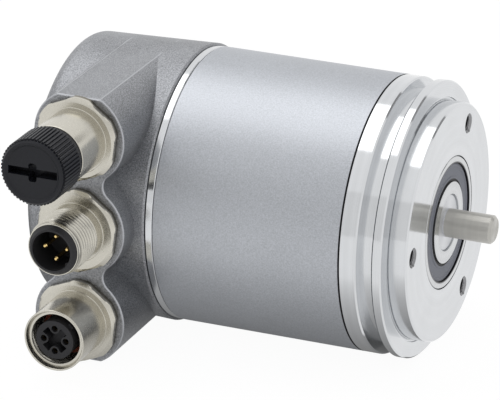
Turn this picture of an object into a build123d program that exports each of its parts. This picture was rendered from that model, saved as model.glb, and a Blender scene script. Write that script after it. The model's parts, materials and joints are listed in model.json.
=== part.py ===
"""Absolute rotary encoder with a synchro flange, a solid shaft and three round plug connectors.

The origin is on the shaft axis, at the mounting shoulder. +X runs out along the shaft,
the connectors point to -Y and stand above one another along Z. Sizes are in millimetres.
"""

import os
from math import acos, cos, pi, radians, sin, sqrt, tan

from build123d import *

# Fits and small clearances
seat_gap = 0.02
running_gap = 0.05
joint_gap = 0.1
edge_chamfer = 0.3

# Housing
housing_radius = 29.0

# Shaft
shaft_radius = 3.0
shaft_reach = 10.0
shaft_chamfer = 0.5
journal_radius = 6.0
journal_recess = 0.3
tail_radius = 1.25

# Flange, with its centring collar in front of the shoulder
collar_radius = 25.0
collar_height = 4.0
relief_width = 0.6
relief_depth = 0.5
rim_thickness = 2.1
groove_width = 3.3
groove_depth = 2.5
band_width = 3.6
flange_spigot_length = 4.5
hub_wall = 4.0
fixing_circle_radius = 21.0
fixing_hole_radius = 1.65
fixing_hole_depth = 8.0
fixing_countersink_radius = 2.15
fixing_countersink_angle = 90
fixing_angles = (180, 60, -60)

# Deep-groove ball bearings
bearing_radius = 14.0
bearing_width = 8.0
ball_radius = 2.381
ball_count = 8
race_half_gap = 1.45
bearing_shield_radius = 12.5
bearing_shield_thickness = 0.5
bearing_shield_recess = 0.4
cage_wall = 0.7
cage_width = 5.4
bearing_spacing = 14.0
bearing_stop_radius = 12.3
circlip_thickness = 1.0
circlip_groove = 0.6

# Tube, rear ring and cast cap
tube_wall = 1.5
tube_length = 40.8
tube_edge = 0.15
ring_band = 1.5
ring_spigot_length = 5.4
ring_rear_spigot_length = 4.4
ring_spigot_wall = 2.9
ledge_width = 5.6
ledge_thickness = 2.6
cap_step = 0.5
cap_taper = 1.0
cap_length = 27.4
cap_wall = 2.4
cap_rear_wall = 2.6
cap_edge_radius = 2.6
cap_front_chamfer = 0.35
cap_screw_radius = 1.25
cap_screw_head_radius = 2.25
cap_screw_head_height = 2.5
cap_screw_head_gap = 0.2
cap_screw_sink = 0.3
cap_screw_drive_radius = 1.15
cap_screw_drive_depth = 1.5
cap_screw_angles = (0, 97, -97)
cap_boss_radius = 2.5
cap_boss_root_radius = 3.2
cap_boss_gap = 0.3
seal_section = 1.6
seal_groove_edge = 1.2

# Connector block and the three connectors
connector_x = -63.8
connector_spacing = 20.0
lobe_radius = 10.05
waist_radius = 3.0
block_end_inset = 0.65
block_rise = 4.9
block_wall = 3.8
block_edge = 0.35
hex_across_flats = 17.0
hex_turned_radius = 9.0
hex_thickness = 1.9
hex_turn = 23.0
stem_radius = 6.95
stem_length = 5.2
female_radius = 6.65
female_barrel_length = 10.4
female_bore_radius = 5.45
male_radius = 6.0
male_barrel_length = 10.45
male_tip_chamfer = 0.5
male_bore_radius = 5.35
insert_radius = 4.95
insert_shoulder_height = 3.1
insert_tail_length = 1.0
male_cavity_radius = 4.2
male_cavity_depth = 8.0
male_insert_stand_out = 0.95
male_insert_rim = 0.4
female_nose_radius = 4.15
female_insert_recess = 0.4
contact_circle_radius = 2.45
contact_radius = 0.5
contact_tail_radius = 0.4
socket_radius = 0.75
socket_mouth_radius = 0.7
socket_mouth_depth = 1.0
socket_wall_radius = 1.05
contact_recess = 2.1
cross_recess_length = 5.8
cross_recess_width = 1.7
cross_recess_depth = 2.4
cross_centre_radius = 1.9
key_width = 1.2
key_height = 0.5
key_angle = 45
key_setback = 1.0
solder_tail_length = 1.0
stem_seal_width = 1.05
stem_seal_depth = 0.9

# Screw cap of the upper connector
screw_cap_radius = 7.1
screw_cap_height = 9.8
flute_count = 56
flute_depth = 0.32
crest_share = 0.4
flank_share = 0.2
screw_cap_rim_height = 0.7
screw_cap_stem_wall = 0.6
screw_cap_stem_length = 5.0
screw_cap_seal_radius = 6.4
screw_cap_seal_thickness = 1.5
dish_radius = 5.9
dish_depth = 0.35
slot_length = 10.7
slot_width = 1.7
slot_depth = 3.2
cross_slot_length = 3.9
cross_slot_width = 1.8
cross_slot_round = 0.6

# Code disc and scanning unit
disc_play = 1.6
disc_thickness = 1.0
disc_hub_radius = 8.5
disc_hub_length = 4.0
clamp_ring_thickness = 1.2
disc_bore_radius = 5.0
track_inset = 1.8
lamp_radius = 1.5
lamp_gap = 1.0
lamp_dome = 0.9
lamp_stand_out = 0.3
holder_width = 10.0
holder_height = 7.0
chip_gap = 0.8
chip_width = 8.0
chip_height = 5.0
chip_thickness = 1.5

# Circuit boards and what holds them
board_thickness = 1.2
sensor_board_gap = 2.0
shaft_hole_radius = 3.0
standoff_radius = 2.4
standoff_inset = 2.5
standoff_angles = (20, 140, 260)
screw_shank_radius = 0.8
screw_shank_length = 3.0
screw_head_radius = 1.5
screw_head_height = 1.0

# Revolution counter: three stages of reduction gears with a magnet on each
pinion_pitch_diameter = 4.8
pinion_teeth = 12
wheel_teeth = 48
gear_width = 1.3
gear_bore_depth = 0.975
layer_pitch = 1.8
gear_backlash = 0.1
tooth_height = 0.75
root_depth = 1.15
pressure_angle = 20
stage_directions = (90, -30, -90)
gear_pin_radius = 0.7
gear_frame_gap = 2.6
gear_frame_thickness = 1.4
gear_frame_play = 0.4
gear_layer_gap = 0.2
gear_leg_radius = 1.6
gear_leg_inset = 1.9
gear_leg_angles = (180, 60, -60)
magnet_radius = 2.0
magnet_thickness = 1.2
magnet_gap = 0.5
turn_sensor_size = 3.0
turn_sensor_thickness = 0.9

# Bus electronics in the cap
connector_board_gap = 3.6
board_play = 0.4
header_length = 10.0
header_width = 2.5
header_turn = -90
header_inset = 2.8
header_play = 0.5
controller_size = 13.0
controller_y = 7.8
controller_z = 9.1
controller_thickness = 1.3
magnetics_length = 12.0
magnetics_width = 7.0
magnetics_height = 5.0
magnetics_y = 8.4
magnetics_z = -9.1
magnetics_spacing = 8.4
light_pipe_radius = 1.2
light_pipe_spacing = 6.0

# Radii worked out from the sizes above
hub_radius = bearing_radius + hub_wall
ball_pitch_radius = (bearing_radius + journal_radius) / 2
inner_race_radius = ball_pitch_radius - race_half_gap
outer_race_radius = ball_pitch_radius + race_half_gap
tube_radius = housing_radius - tube_wall
ring_bore_radius = tube_radius - ring_spigot_wall
ledge_radius = ring_bore_radius - ledge_width
cap_front_radius = housing_radius + cap_step
cap_rear_radius = cap_front_radius - cap_taper
cap_screw_circle_radius = ring_bore_radius - cap_boss_radius - cap_boss_gap
sensor_board_radius = tube_radius - sensor_board_gap
standoff_circle_radius = sensor_board_radius - standoff_inset
disc_radius = standoff_circle_radius - standoff_radius - disc_play
track_radius = disc_radius - track_inset
gear_frame_radius = ring_bore_radius - gear_frame_play
gear_leg_circle_radius = gear_frame_radius - gear_leg_inset
board_radius = ring_bore_radius - joint_gap
header_circle_radius = ledge_radius - header_inset

# Places along the shaft axis
flange_back = -(rim_thickness + groove_width + band_width)
spigot_back = flange_back - flange_spigot_length
front_bearing_x = collar_height - bearing_width / 2
rear_bearing_x = front_bearing_x - bearing_width - bearing_spacing
rear_bearing_back = rear_bearing_x - bearing_width / 2
hub_back = rear_bearing_back - circlip_thickness - circlip_groove
tube_back = flange_back - joint_gap - tube_length
ring_front = tube_back - joint_gap
ring_back = ring_front - ring_band
cap_front = ring_back - joint_gap
cap_back = cap_front - cap_length
disc_front = rear_bearing_back - disc_hub_length
disc_back = disc_front - disc_thickness
clamp_back = disc_back - clamp_ring_thickness
sensor_board_front = disc_back - chip_gap - chip_thickness
sensor_board_back = sensor_board_front - board_thickness
gear_frame_front = sensor_board_back - gear_frame_gap
gear_frame_back = gear_frame_front - gear_frame_thickness
gear_layer_front = gear_frame_back - gear_layer_gap
magnet_back = gear_layer_front - 2 * layer_pitch - gear_width - magnet_thickness
turn_sensor_front = magnet_back - magnet_gap
turn_board_front = turn_sensor_front - turn_sensor_thickness
turn_board_back = turn_board_front - board_thickness
ledge_back = turn_board_back - ledge_thickness
bus_board_front = ledge_back
bus_board_back = bus_board_front - board_thickness
shaft_tail_end = gear_layer_front - gear_width

# Reduction gears
gear_module = pinion_pitch_diameter / pinion_teeth
gear_distance = gear_module * (pinion_teeth + wheel_teeth) / 2

# Distances along the connectors' axes, counted from the shaft axis
block_half_height = cap_front_radius - block_end_inset
block_face = cap_front_radius + block_rise
hex_face = block_face + hex_thickness
female_tip = hex_face + female_barrel_length
male_tip = hex_face + male_barrel_length
insert_shoulder = block_face + insert_shoulder_height
insert_rear = block_face - block_wall - insert_tail_length
connector_board_place = block_face - block_wall - connector_board_gap
screw_cap_end = female_tip + screw_cap_height
screw_cap_stem_radius = female_bore_radius - joint_gap
connector_heights = (connector_spacing, 0.0, -connector_spacing)

os.makedirs("parts", exist_ok=True)


def save(piece, name):
    """Label a finished piece and write its own STEP file."""
    piece.part.label = name
    export_step(piece.part, f"parts/{name}.step")


def around(radius, angle):
    """A (Y, Z) place at a radius from the shaft axis, its angle counted from +Y towards +Z."""
    return radius * cos(radians(angle)), radius * sin(radians(angle))


def section(points, plane=Plane.XY):
    """A closed face through a list of points, such as the half section of a turned piece."""
    with BuildSketch(plane) as face:
        with BuildLine():
            Polyline(*points, close=True)
        make_face()
    return face.sketch


def tube_section(front, back, outer, inner):
    """The half section of a plain ring on the shaft axis."""
    return section([(front, inner), (front, outer), (back, outer), (back, inner)])


def socket_plane(z):
    """A plane through a connector's axis: X is the radius and Y points out of the block."""
    return Plane(origin=(connector_x, 0, z), x_dir=(1, 0, 0), z_dir=(0, 0, -1))


def socket_axis(z):
    """A connector's own axis, pointing out of the block."""
    return Axis((connector_x, 0, z), (0, -1, 0))


def socket_ring(z, start, end, outer, inner=0.0):
    """The half section of a ring on a connector's axis."""
    corners = [(inner, start), (outer, start), (outer, end), (inner, end)]
    return section(corners, socket_plane(z))


def contact_places(z):
    """The four contact places of one connector, in the plane of the block's face."""
    turned = [around(contact_circle_radius, 90 * k) for k in range(4)]
    return [(connector_x + u, z + v) for u, v in turned]


cap_screw_places = [around(cap_screw_circle_radius, a) for a in cap_screw_angles]

# Flange: collar, relief, rim, clamping groove, band, spigot and bearing hub
with BuildPart() as flange:
    collar_edge = collar_radius - edge_chamfer
    rim_edge = housing_radius - edge_chamfer
    groove_front = -rim_thickness
    groove_back = groove_front - groove_width
    groove_floor = housing_radius - groove_depth
    seat_radius = bearing_radius + seat_gap
    spigot_radius = tube_radius - seat_gap
    seal_groove_front = spigot_back + seal_groove_edge + seal_section
    seal_groove_floor = spigot_radius - seal_section
    revolve(section([
        (collar_height, seat_radius),
        (collar_height, collar_edge),
        (collar_height - edge_chamfer, collar_radius),
        (-relief_depth, collar_radius),
        (-relief_depth, collar_radius + relief_width),
        (0, collar_radius + relief_width),
        (0, rim_edge),
        (-edge_chamfer, housing_radius),
        (groove_front + edge_chamfer, housing_radius),
        (groove_front, rim_edge),
        (groove_front, groove_floor),
        (groove_back, groove_floor),
        (groove_back, rim_edge),
        (groove_back - edge_chamfer, housing_radius),
        (flange_back + tube_edge, housing_radius),
        (flange_back, housing_radius - tube_edge),
        (flange_back, spigot_radius),
        (seal_groove_front, spigot_radius),
        (seal_groove_front, seal_groove_floor),
        (seal_groove_front - seal_section, seal_groove_floor),
        (seal_groove_front - seal_section, spigot_radius),
        (spigot_back, spigot_radius),
        (spigot_back, hub_radius),
        (hub_back, hub_radius),
        (hub_back, seat_radius),
        (rear_bearing_x + bearing_width / 2, seat_radius),
        (rear_bearing_x + bearing_width / 2, bearing_stop_radius),
        (front_bearing_x - bearing_width / 2, bearing_stop_radius),
        (front_bearing_x - bearing_width / 2, seat_radius),
    ]), axis=Axis.X)
    with Locations(Plane.YZ.offset(collar_height)):
        with Locations(*[around(fixing_circle_radius, a) for a in fixing_angles]):
            CounterSinkHole(fixing_hole_radius, fixing_countersink_radius, fixing_hole_depth,
                            fixing_countersink_angle)
    circlip_front = rear_bearing_back - seat_gap
    circlip_back = circlip_front - circlip_thickness
    revolve(tube_section(circlip_front, circlip_back, seat_radius + circlip_groove, seat_radius),
            axis=Axis.X, mode=Mode.SUBTRACT)
save(flange, "flange")

with BuildPart() as tube_seal:
    revolve(tube_section(seal_groove_front - seat_gap, seal_groove_front - seal_section + seat_gap,
                         spigot_radius, seal_groove_floor + seat_gap), axis=Axis.X)
save(tube_seal, "tube_seal")

with BuildPart() as bearing_circlip:
    revolve(tube_section(circlip_front - seat_gap, circlip_back + seat_gap,
                         seat_radius + circlip_groove - seat_gap, bearing_stop_radius), axis=Axis.X)
save(bearing_circlip, "bearing_circlip")

# Housing tube
with BuildPart() as housing_tube:
    tube_front = flange_back - joint_gap
    revolve(section([
        (tube_front, tube_radius),
        (tube_front, housing_radius - tube_edge),
        (tube_front - tube_edge, housing_radius),
        (tube_back + tube_edge, housing_radius),
        (tube_back, housing_radius - tube_edge),
        (tube_back, tube_radius),
    ]), axis=Axis.X)
save(housing_tube, "housing_tube")

# Rear ring: its band shows between tube and cap, its spigots centre both, its ledge holds two boards
ring_spigot_radius = tube_radius - seat_gap
with BuildPart() as rear_ring:
    spigot_front = ring_front + ring_spigot_length
    spigot_end = ring_back - ring_rear_spigot_length
    ring_seal_front = ring_back - seal_groove_edge
    revolve(section([
        (spigot_front, ring_bore_radius),
        (spigot_front, ring_spigot_radius),
        (ring_front, ring_spigot_radius),
        (ring_front, housing_radius - tube_edge),
        (ring_front - tube_edge, housing_radius),
        (ring_back + tube_edge, housing_radius),
        (ring_back, housing_radius - tube_edge),
        (ring_back, ring_spigot_radius),
        (ring_seal_front, ring_spigot_radius),
        (ring_seal_front, ring_spigot_radius - seal_section),
        (ring_seal_front - seal_section, ring_spigot_radius - seal_section),
        (ring_seal_front - seal_section, ring_spigot_radius),
        (spigot_end, ring_spigot_radius),
        (spigot_end, ring_bore_radius),
        (ledge_back, ring_bore_radius),
        (ledge_back, ledge_radius),
        (turn_board_back, ledge_radius),
        (turn_board_back, ring_bore_radius),
    ]), axis=Axis.X)
    with BuildSketch(Plane.YZ.offset(ledge_back)):
        with Locations(*cap_screw_places):
            Circle(cap_screw_radius)
    extrude(amount=ledge_thickness, mode=Mode.SUBTRACT)
save(rear_ring, "rear_ring")

with BuildPart() as cap_seal:
    revolve(tube_section(ring_seal_front - seat_gap, ring_seal_front - seal_section + seat_gap,
                         ring_spigot_radius, ring_spigot_radius - seal_section + seat_gap), axis=Axis.X)
save(cap_seal, "cap_seal")


def block_outline(margin, out):
    """Three joined lobes with flat ends, drawn at a distance out along -Y and shrunk by a margin."""
    lobe = lobe_radius - margin
    waist = waist_radius + margin
    half_spacing = connector_spacing / 2
    waist_x = sqrt((lobe + waist) ** 2 - half_spacing ** 2)
    contact = lobe / (lobe + waist)
    middles = (half_spacing, -half_spacing)
    with BuildSketch(Plane.XZ.offset(out)) as outline:
        with Locations(*[(connector_x, z) for z in connector_heights]):
            Circle(lobe)
        with Locations(*[(connector_x, z) for z in middles]):
            Rectangle(2 * waist_x * contact, connector_spacing * (1 - contact))
        with Locations(*[(connector_x + side * waist_x, z) for side in (-1, 1) for z in middles]):
            Circle(waist, mode=Mode.SUBTRACT)
        with Locations((connector_x, 0)):
            Rectangle(4 * lobe, 2 * (block_half_height - margin), mode=Mode.INTERSECT)
    return outline.sketch


# Cast cap: tapered drum with a rounded rear edge and a block of three lobes for the connectors
with BuildPart() as rear_cap:
    with BuildSketch(Plane.XY) as drum:
        with BuildLine():
            Polyline((cap_front, 0), (cap_front, cap_front_radius), (cap_back, cap_rear_radius),
                     (cap_back, 0), close=True)
        make_face()
        fillet(drum.vertices().group_by(Axis.Y)[1].sort_by(Axis.X)[0], cap_edge_radius)
        chamfer(drum.vertices().group_by(Axis.Y)[-1], cap_front_chamfer)
    revolve(axis=Axis.X)
    extrude(block_outline(0, block_face), amount=-block_face)
    chamfer(rear_cap.faces().sort_by(Axis.Y)[0].edges(), block_edge)
    mouth_radius = tube_radius + seat_gap
    mouth_end = spigot_end - joint_gap
    cavity_front_radius = tube_radius - cap_wall / 2
    revolve(section([
        (cap_front, 0),
        (cap_front, mouth_radius),
        (mouth_end, mouth_radius),
        (mouth_end, cavity_front_radius),
        (cap_back + cap_rear_wall, cap_rear_radius - cap_wall),
        (cap_back + cap_rear_wall, 0),
    ]), axis=Axis.X, mode=Mode.SUBTRACT)
    pocket_face = block_face - block_wall
    pocket_depth = pocket_face - cap_screw_circle_radius / 2
    extrude(block_outline(cap_wall, pocket_face), amount=-pocket_depth, mode=Mode.SUBTRACT)
    boss_length = cap_back + cap_rear_wall - bus_board_back + joint_gap
    for y, z in cap_screw_places:
        boss_middle = bus_board_back - joint_gap + boss_length / 2
        with Locations(Location((boss_middle, y, z), (0, 90, 0))):
            Cone(cap_boss_root_radius, cap_boss_radius, -boss_length)
    for z in connector_heights:
        revolve(socket_ring(z, pocket_face - cap_wall, block_face, stem_radius + running_gap),
                axis=socket_axis(z), mode=Mode.SUBTRACT)
        seal_seat = stem_radius + stem_seal_width + seat_gap
        revolve(socket_ring(z, block_face - stem_seal_depth, block_face, seal_seat),
                axis=socket_axis(z), mode=Mode.SUBTRACT)
    counterbore = cap_screw_head_radius + cap_screw_head_gap
    with BuildSketch(Plane.YZ.offset(cap_back)):
        with Locations(*cap_screw_places):
            Circle(counterbore)
    extrude(amount=cap_screw_head_height + cap_screw_sink, mode=Mode.SUBTRACT)
    with BuildSketch(Plane.YZ.offset(cap_back)):
        with Locations(*cap_screw_places):
            Circle(cap_screw_radius + joint_gap)
    extrude(amount=bus_board_back - cap_back, mode=Mode.SUBTRACT)
    with BuildSketch(Plane.YZ.offset(cap_back)):
        with GridLocations(0, light_pipe_spacing, 1, 3):
            Circle(light_pipe_radius + seat_gap)
    extrude(amount=cap_rear_wall, mode=Mode.SUBTRACT)
save(rear_cap, "rear_cap")

with BuildPart() as cap_screws:
    head_seat = cap_back + cap_screw_head_height + cap_screw_sink
    for y, z in cap_screw_places:
        place = Plane.YZ.offset(head_seat)
        with BuildSketch(place):
            with Locations((y, z)):
                Circle(cap_screw_head_radius)
        extrude(amount=-cap_screw_head_height)
        with BuildSketch(place.offset(-cap_screw_head_height)):
            with Locations((y, z)):
                RegularPolygon(cap_screw_drive_radius, 6)
        extrude(amount=cap_screw_drive_depth, mode=Mode.SUBTRACT)
        with BuildSketch(place):
            with Locations((y, z)):
                Circle(cap_screw_radius - seat_gap)
        extrude(amount=turn_board_back - head_seat)
save(cap_screws, "cap_screws")


def race_section(middle, inner, outer, rebate):
    """The half section of a bearing ring, with its ball groove and the seats of its two shields."""
    with BuildSketch(Plane.XY) as race:
        with Locations((middle, (inner + outer) / 2)):
            Rectangle(bearing_width, outer - inner)
        with Locations((middle, ball_pitch_radius)):
            Circle(ball_radius + running_gap, mode=Mode.SUBTRACT)
        if rebate:
            seat_depth = bearing_shield_recess + bearing_shield_thickness
            seat_middle = (bearing_width - seat_depth) / 2
            with Locations((middle - seat_middle, inner), (middle + seat_middle, inner)):
                Rectangle(seat_depth, 2 * (bearing_shield_radius - inner), mode=Mode.SUBTRACT)
    return race.sketch


def bearing_outer_ring(middle):
    """The ring that sits in the flange."""
    with BuildPart() as ring:
        revolve(race_section(middle, outer_race_radius, bearing_radius, True), axis=Axis.X)
        chamfer(ring.edges().filter_by(GeomType.CIRCLE).group_by(SortBy.RADIUS)[-1], edge_chamfer)
    return ring


def bearing_inner_ring(middle):
    """The ring that sits on the shaft."""
    with BuildPart() as ring:
        revolve(race_section(middle, journal_radius + seat_gap / 2, inner_race_radius, False),
                axis=Axis.X)
    return ring


def bearing_shields(middle):
    """The two rubber shields that close a bearing, held in its outer ring."""
    face = bearing_width / 2 - bearing_shield_recess
    back = face - bearing_shield_thickness
    outer = bearing_shield_radius - seat_gap
    inner = inner_race_radius + 2 * running_gap
    with BuildPart() as shields:
        revolve(tube_section(middle + face, middle + back, outer, inner), axis=Axis.X)
        revolve(tube_section(middle - back, middle - face, outer, inner), axis=Axis.X)
    return shields


def ball_planes(middle):
    """Planes at a bearing's middle that look out along each ball's radius."""
    turns = [360 * k / ball_count for k in range(ball_count)]
    return [Plane(origin=(middle, 0, 0), x_dir=(1, 0, 0), z_dir=(0, *around(1, a))) for a in turns]


def bearing_balls(middle):
    """The ring of balls of one bearing."""
    with BuildPart() as balls:
        with Locations(*[plane.offset(ball_pitch_radius) for plane in ball_planes(middle)]):
            Sphere(ball_radius)
    return balls


def bearing_cage(middle):
    """The cage that spaces the balls, with a round pocket for each."""
    with BuildPart() as cage:
        revolve(tube_section(middle + cage_width / 2, middle - cage_width / 2,
                             ball_pitch_radius + cage_wall, ball_pitch_radius - cage_wall), axis=Axis.X)
        for plane in ball_planes(middle):
            with BuildSketch(plane):
                Circle(ball_radius + 2 * running_gap)
            extrude(amount=bearing_radius, mode=Mode.SUBTRACT)
    return cage


for place, bearing_x in (("front", front_bearing_x), ("rear", rear_bearing_x)):
    save(bearing_outer_ring(bearing_x), f"{place}_bearing_outer_ring")
    save(bearing_inner_ring(bearing_x), f"{place}_bearing_inner_ring")
    save(bearing_shields(bearing_x), f"{place}_bearing_shields")
    save(bearing_balls(bearing_x), f"{place}_bearing_balls")
    save(bearing_cage(bearing_x), f"{place}_bearing_cage")

# Shaft: plain end, journal for both bearings, seat of the disc hub and a thin tail for the pinion
with BuildPart() as shaft:
    shaft_end = collar_height + shaft_reach
    journal_front = collar_height - journal_recess
    revolve(section([
        (shaft_end, 0),
        (shaft_end, shaft_radius - shaft_chamfer),
        (shaft_end - shaft_chamfer, shaft_radius),
        (journal_front, shaft_radius),
        (journal_front, journal_radius - edge_chamfer),
        (journal_front - edge_chamfer, journal_radius),
        (rear_bearing_back - seat_gap, journal_radius),
        (rear_bearing_back - seat_gap, disc_bore_radius),
        (disc_front - disc_thickness, disc_bore_radius),
        (disc_front - disc_thickness, tail_radius),
        (shaft_tail_end, tail_radius),
        (shaft_tail_end, 0),
    ]), axis=Axis.X)
save(shaft, "shaft")

with BuildPart() as bearing_spacer:
    spacer_front = front_bearing_x - bearing_width / 2 - seat_gap
    spacer_back = rear_bearing_x + bearing_width / 2 + seat_gap
    revolve(tube_section(spacer_front, spacer_back, inner_race_radius, journal_radius + seat_gap),
            axis=Axis.X)
save(bearing_spacer, "bearing_spacer")

# Code disc between its hub and its clamping ring
with BuildPart() as disc_hub:
    revolve(tube_section(rear_bearing_back - seat_gap, disc_front, disc_hub_radius,
                         disc_bore_radius + seat_gap), axis=Axis.X)
save(disc_hub, "disc_hub")

with BuildPart() as code_disc:
    revolve(tube_section(disc_front, disc_back, disc_radius, disc_bore_radius + seat_gap), axis=Axis.X)
save(code_disc, "code_disc")

with BuildPart() as disc_clamp_ring:
    revolve(tube_section(disc_back, clamp_back, disc_hub_radius, tail_radius + seat_gap), axis=Axis.X)
save(disc_clamp_ring, "disc_clamp_ring")

# Light source in front of the disc, in a holder on the end of the flange's hub
with BuildPart() as light_holder:
    lamp_front = disc_front + lamp_gap
    with BuildSketch(Plane.YZ.offset(hub_back)):
        with Locations((0, track_radius)):
            Rectangle(holder_width, holder_height)
    extrude(amount=lamp_front + lamp_stand_out - hub_back)
    with BuildSketch(Plane.YZ.offset(lamp_front)):
        with Locations((0, track_radius)):
            Circle(lamp_radius + seat_gap)
    extrude(amount=hub_back - lamp_front, mode=Mode.SUBTRACT)
save(light_holder, "light_holder")

with BuildPart() as light_source:
    with BuildSketch(Plane.YZ.offset(lamp_front)):
        with Locations((0, track_radius)):
            Circle(lamp_radius)
    extrude(amount=hub_back - lamp_front)
    fillet(light_source.faces().sort_by(Axis.X)[0].edges(), lamp_dome)
save(light_source, "light_source")

# Sensor board behind the disc, on three pillars that stand on the flange's spigot
standoff_places = [around(standoff_circle_radius, a) for a in standoff_angles]
leg_places = [around(gear_leg_circle_radius, a) for a in gear_leg_angles]
header_place = around(header_circle_radius, header_turn)
with BuildPart() as sensor_board:
    with BuildSketch(Plane.YZ.offset(sensor_board_back)):
        Circle(sensor_board_radius)
        Circle(shaft_hole_radius, mode=Mode.SUBTRACT)
        with Locations(*standoff_places):
            Circle(screw_shank_radius + running_gap, mode=Mode.SUBTRACT)
    extrude(amount=board_thickness)
save(sensor_board, "sensor_board")

with BuildPart() as sensor_chip:
    with BuildSketch(Plane.YZ.offset(sensor_board_front)):
        with Locations((0, track_radius)):
            Rectangle(chip_width, chip_height)
    extrude(amount=chip_thickness)
save(sensor_chip, "sensor_chip")

with BuildPart() as board_standoffs:
    with BuildSketch(Plane.YZ.offset(sensor_board_front)):
        with Locations(*standoff_places):
            RegularPolygon(standoff_radius, 6)
            Circle(screw_shank_radius + seat_gap, mode=Mode.SUBTRACT)
    extrude(amount=spigot_back - sensor_board_front)
save(board_standoffs, "board_standoffs")

with BuildPart() as board_screws:
    with BuildSketch(Plane.YZ.offset(sensor_board_back)):
        with Locations(*standoff_places):
            Circle(screw_head_radius)
    extrude(amount=-screw_head_height)
    with BuildSketch(Plane.YZ.offset(sensor_board_back)):
        with Locations(*standoff_places):
            Circle(screw_shank_radius)
    extrude(amount=board_thickness + screw_shank_length)
save(board_screws, "board_screws")


def involute(angle):
    """The involute function of a pressure angle in radians."""
    return tan(angle) - angle


def gear_outline(teeth, place, first_tooth, front):
    """A spur gear's outline at a (Y, Z) place, with one tooth pointing at the given angle."""
    pitch = gear_module * teeth / 2
    base = pitch * cos(radians(pressure_angle))
    tip = pitch + tooth_height * gear_module
    root = pitch - root_depth * gear_module
    half_pitch_angle = (pi * gear_module - gear_backlash) / (4 * pitch)

    def half_tooth(radius):
        """Half a tooth's angle at a radius, held at the base circle's value inside it."""
        slope = acos(base / max(radius, base))
        return half_pitch_angle + involute(radians(pressure_angle)) - involute(slope)

    points = []
    for k in range(teeth):
        middle = radians(first_tooth) + 2 * pi * k / teeth
        for radius, side in ((root, -1), (tip, -1), (tip, 1), (root, 1)):
            angle = middle + side * half_tooth(radius)
            points.append((place[0] + radius * cos(angle), place[1] + radius * sin(angle)))
    return section(points, Plane.YZ.offset(front))


def stage_places():
    """The axes of the three reduction gears, each one gear distance from the one before it."""
    places = [(0.0, 0.0)]
    for direction in stage_directions:
        y, z = around(gear_distance, direction)
        places.append((places[-1][0] + y, places[-1][1] + z))
    return places[1:]


# Revolution counter: a pinion on the shaft's tail drives three stages, each four times slower
half_tooth_pitch = 180 / wheel_teeth
with BuildPart() as shaft_pinion:
    extrude(gear_outline(pinion_teeth, (0, 0), stage_directions[0], shaft_tail_end), amount=gear_width)
    with BuildSketch(Plane.YZ.offset(shaft_tail_end)):
        Circle(tail_radius + seat_gap / 2)
    extrude(amount=gear_width, mode=Mode.SUBTRACT)
save(shaft_pinion, "shaft_pinion")

gear_places = stage_places()
next_directions = (*stage_directions[1:], None)
for stage, (place, incoming, outgoing) in enumerate(zip(gear_places, stage_directions, next_directions)):
    wheel_back = gear_layer_front - stage * layer_pitch - gear_width
    gear_back = wheel_back if outgoing is None else wheel_back - layer_pitch
    with BuildPart() as turn_gear:
        first_tooth = incoming + 180 + half_tooth_pitch
        extrude(gear_outline(wheel_teeth, place, first_tooth, wheel_back), amount=gear_width)
        if outgoing is not None:
            extrude(gear_outline(pinion_teeth, place, outgoing, gear_back), amount=layer_pitch)
        with BuildSketch(Plane.YZ.offset(gear_layer_front)):
            with Locations(place):
                Circle(gear_pin_radius + running_gap)
        bore_end = wheel_back + gear_width - gear_bore_depth
        extrude(amount=bore_end - gear_layer_front, mode=Mode.SUBTRACT)
    save(turn_gear, f"turn_gear_{stage + 1}")
    with BuildPart() as turn_magnet:
        with BuildSketch(Plane.YZ.offset(gear_back)):
            with Locations(place):
                Circle(magnet_radius)
        extrude(amount=-magnet_thickness)
    save(turn_magnet, f"turn_magnet_{stage + 1}")

with BuildPart() as gear_frame:
    with BuildSketch(Plane.YZ.offset(gear_frame_back)):
        Circle(gear_frame_radius)
        Circle(shaft_hole_radius, mode=Mode.SUBTRACT)
        with Locations(header_place):
            Rectangle(header_length + 2 * header_play, header_width + 2 * header_play,
                      mode=Mode.SUBTRACT)
    extrude(amount=gear_frame_thickness)
    with BuildSketch(Plane.YZ.offset(turn_board_front)):
        with Locations(*leg_places):
            Circle(gear_leg_radius)
    extrude(amount=sensor_board_back - turn_board_front)
save(gear_frame, "gear_frame")

with BuildPart() as gear_pins:
    for stage, place in enumerate(gear_places):
        pin_end = gear_layer_front - stage * layer_pitch - gear_bore_depth + 2 * running_gap
        with BuildSketch(Plane.YZ.offset(gear_frame_back)):
            with Locations(place):
                Circle(gear_pin_radius)
        extrude(amount=pin_end - gear_frame_back)
save(gear_pins, "gear_pins")

# Counter board with a magnetic sensor behind each magnet, seated on the ring's ledge
with BuildPart() as turn_board:
    with BuildSketch(Plane.YZ.offset(turn_board_back)):
        Circle(board_radius)
        with Locations(*cap_screw_places):
            Circle(cap_screw_radius + 2 * running_gap, mode=Mode.SUBTRACT)
    extrude(amount=board_thickness)
save(turn_board, "turn_board")

with BuildPart() as turn_sensors:
    with BuildSketch(Plane.YZ.offset(turn_board_front)):
        with Locations(*gear_places):
            Rectangle(turn_sensor_size, turn_sensor_size)
    extrude(amount=turn_sensor_thickness)
save(turn_sensors, "turn_sensors")

# Bus board behind the ledge, held by the bosses of the cap
with BuildPart() as bus_board:
    with BuildSketch(Plane.YZ.offset(bus_board_back)):
        Circle(board_radius)
        with Locations(*cap_screw_places):
            Circle(cap_screw_radius + 2 * running_gap, mode=Mode.SUBTRACT)
    extrude(amount=board_thickness)
save(bus_board, "bus_board")

with BuildPart() as board_headers:
    with BuildSketch(Plane.YZ.offset(turn_board_front)):
        with Locations(header_place):
            Rectangle(header_length, header_width)
    extrude(amount=sensor_board_back - turn_board_front)
    with BuildSketch(Plane.YZ.offset(ledge_back)):
        with Locations(header_place):
            Rectangle(header_length, header_width)
    extrude(amount=ledge_thickness)
save(board_headers, "board_headers")

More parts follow.
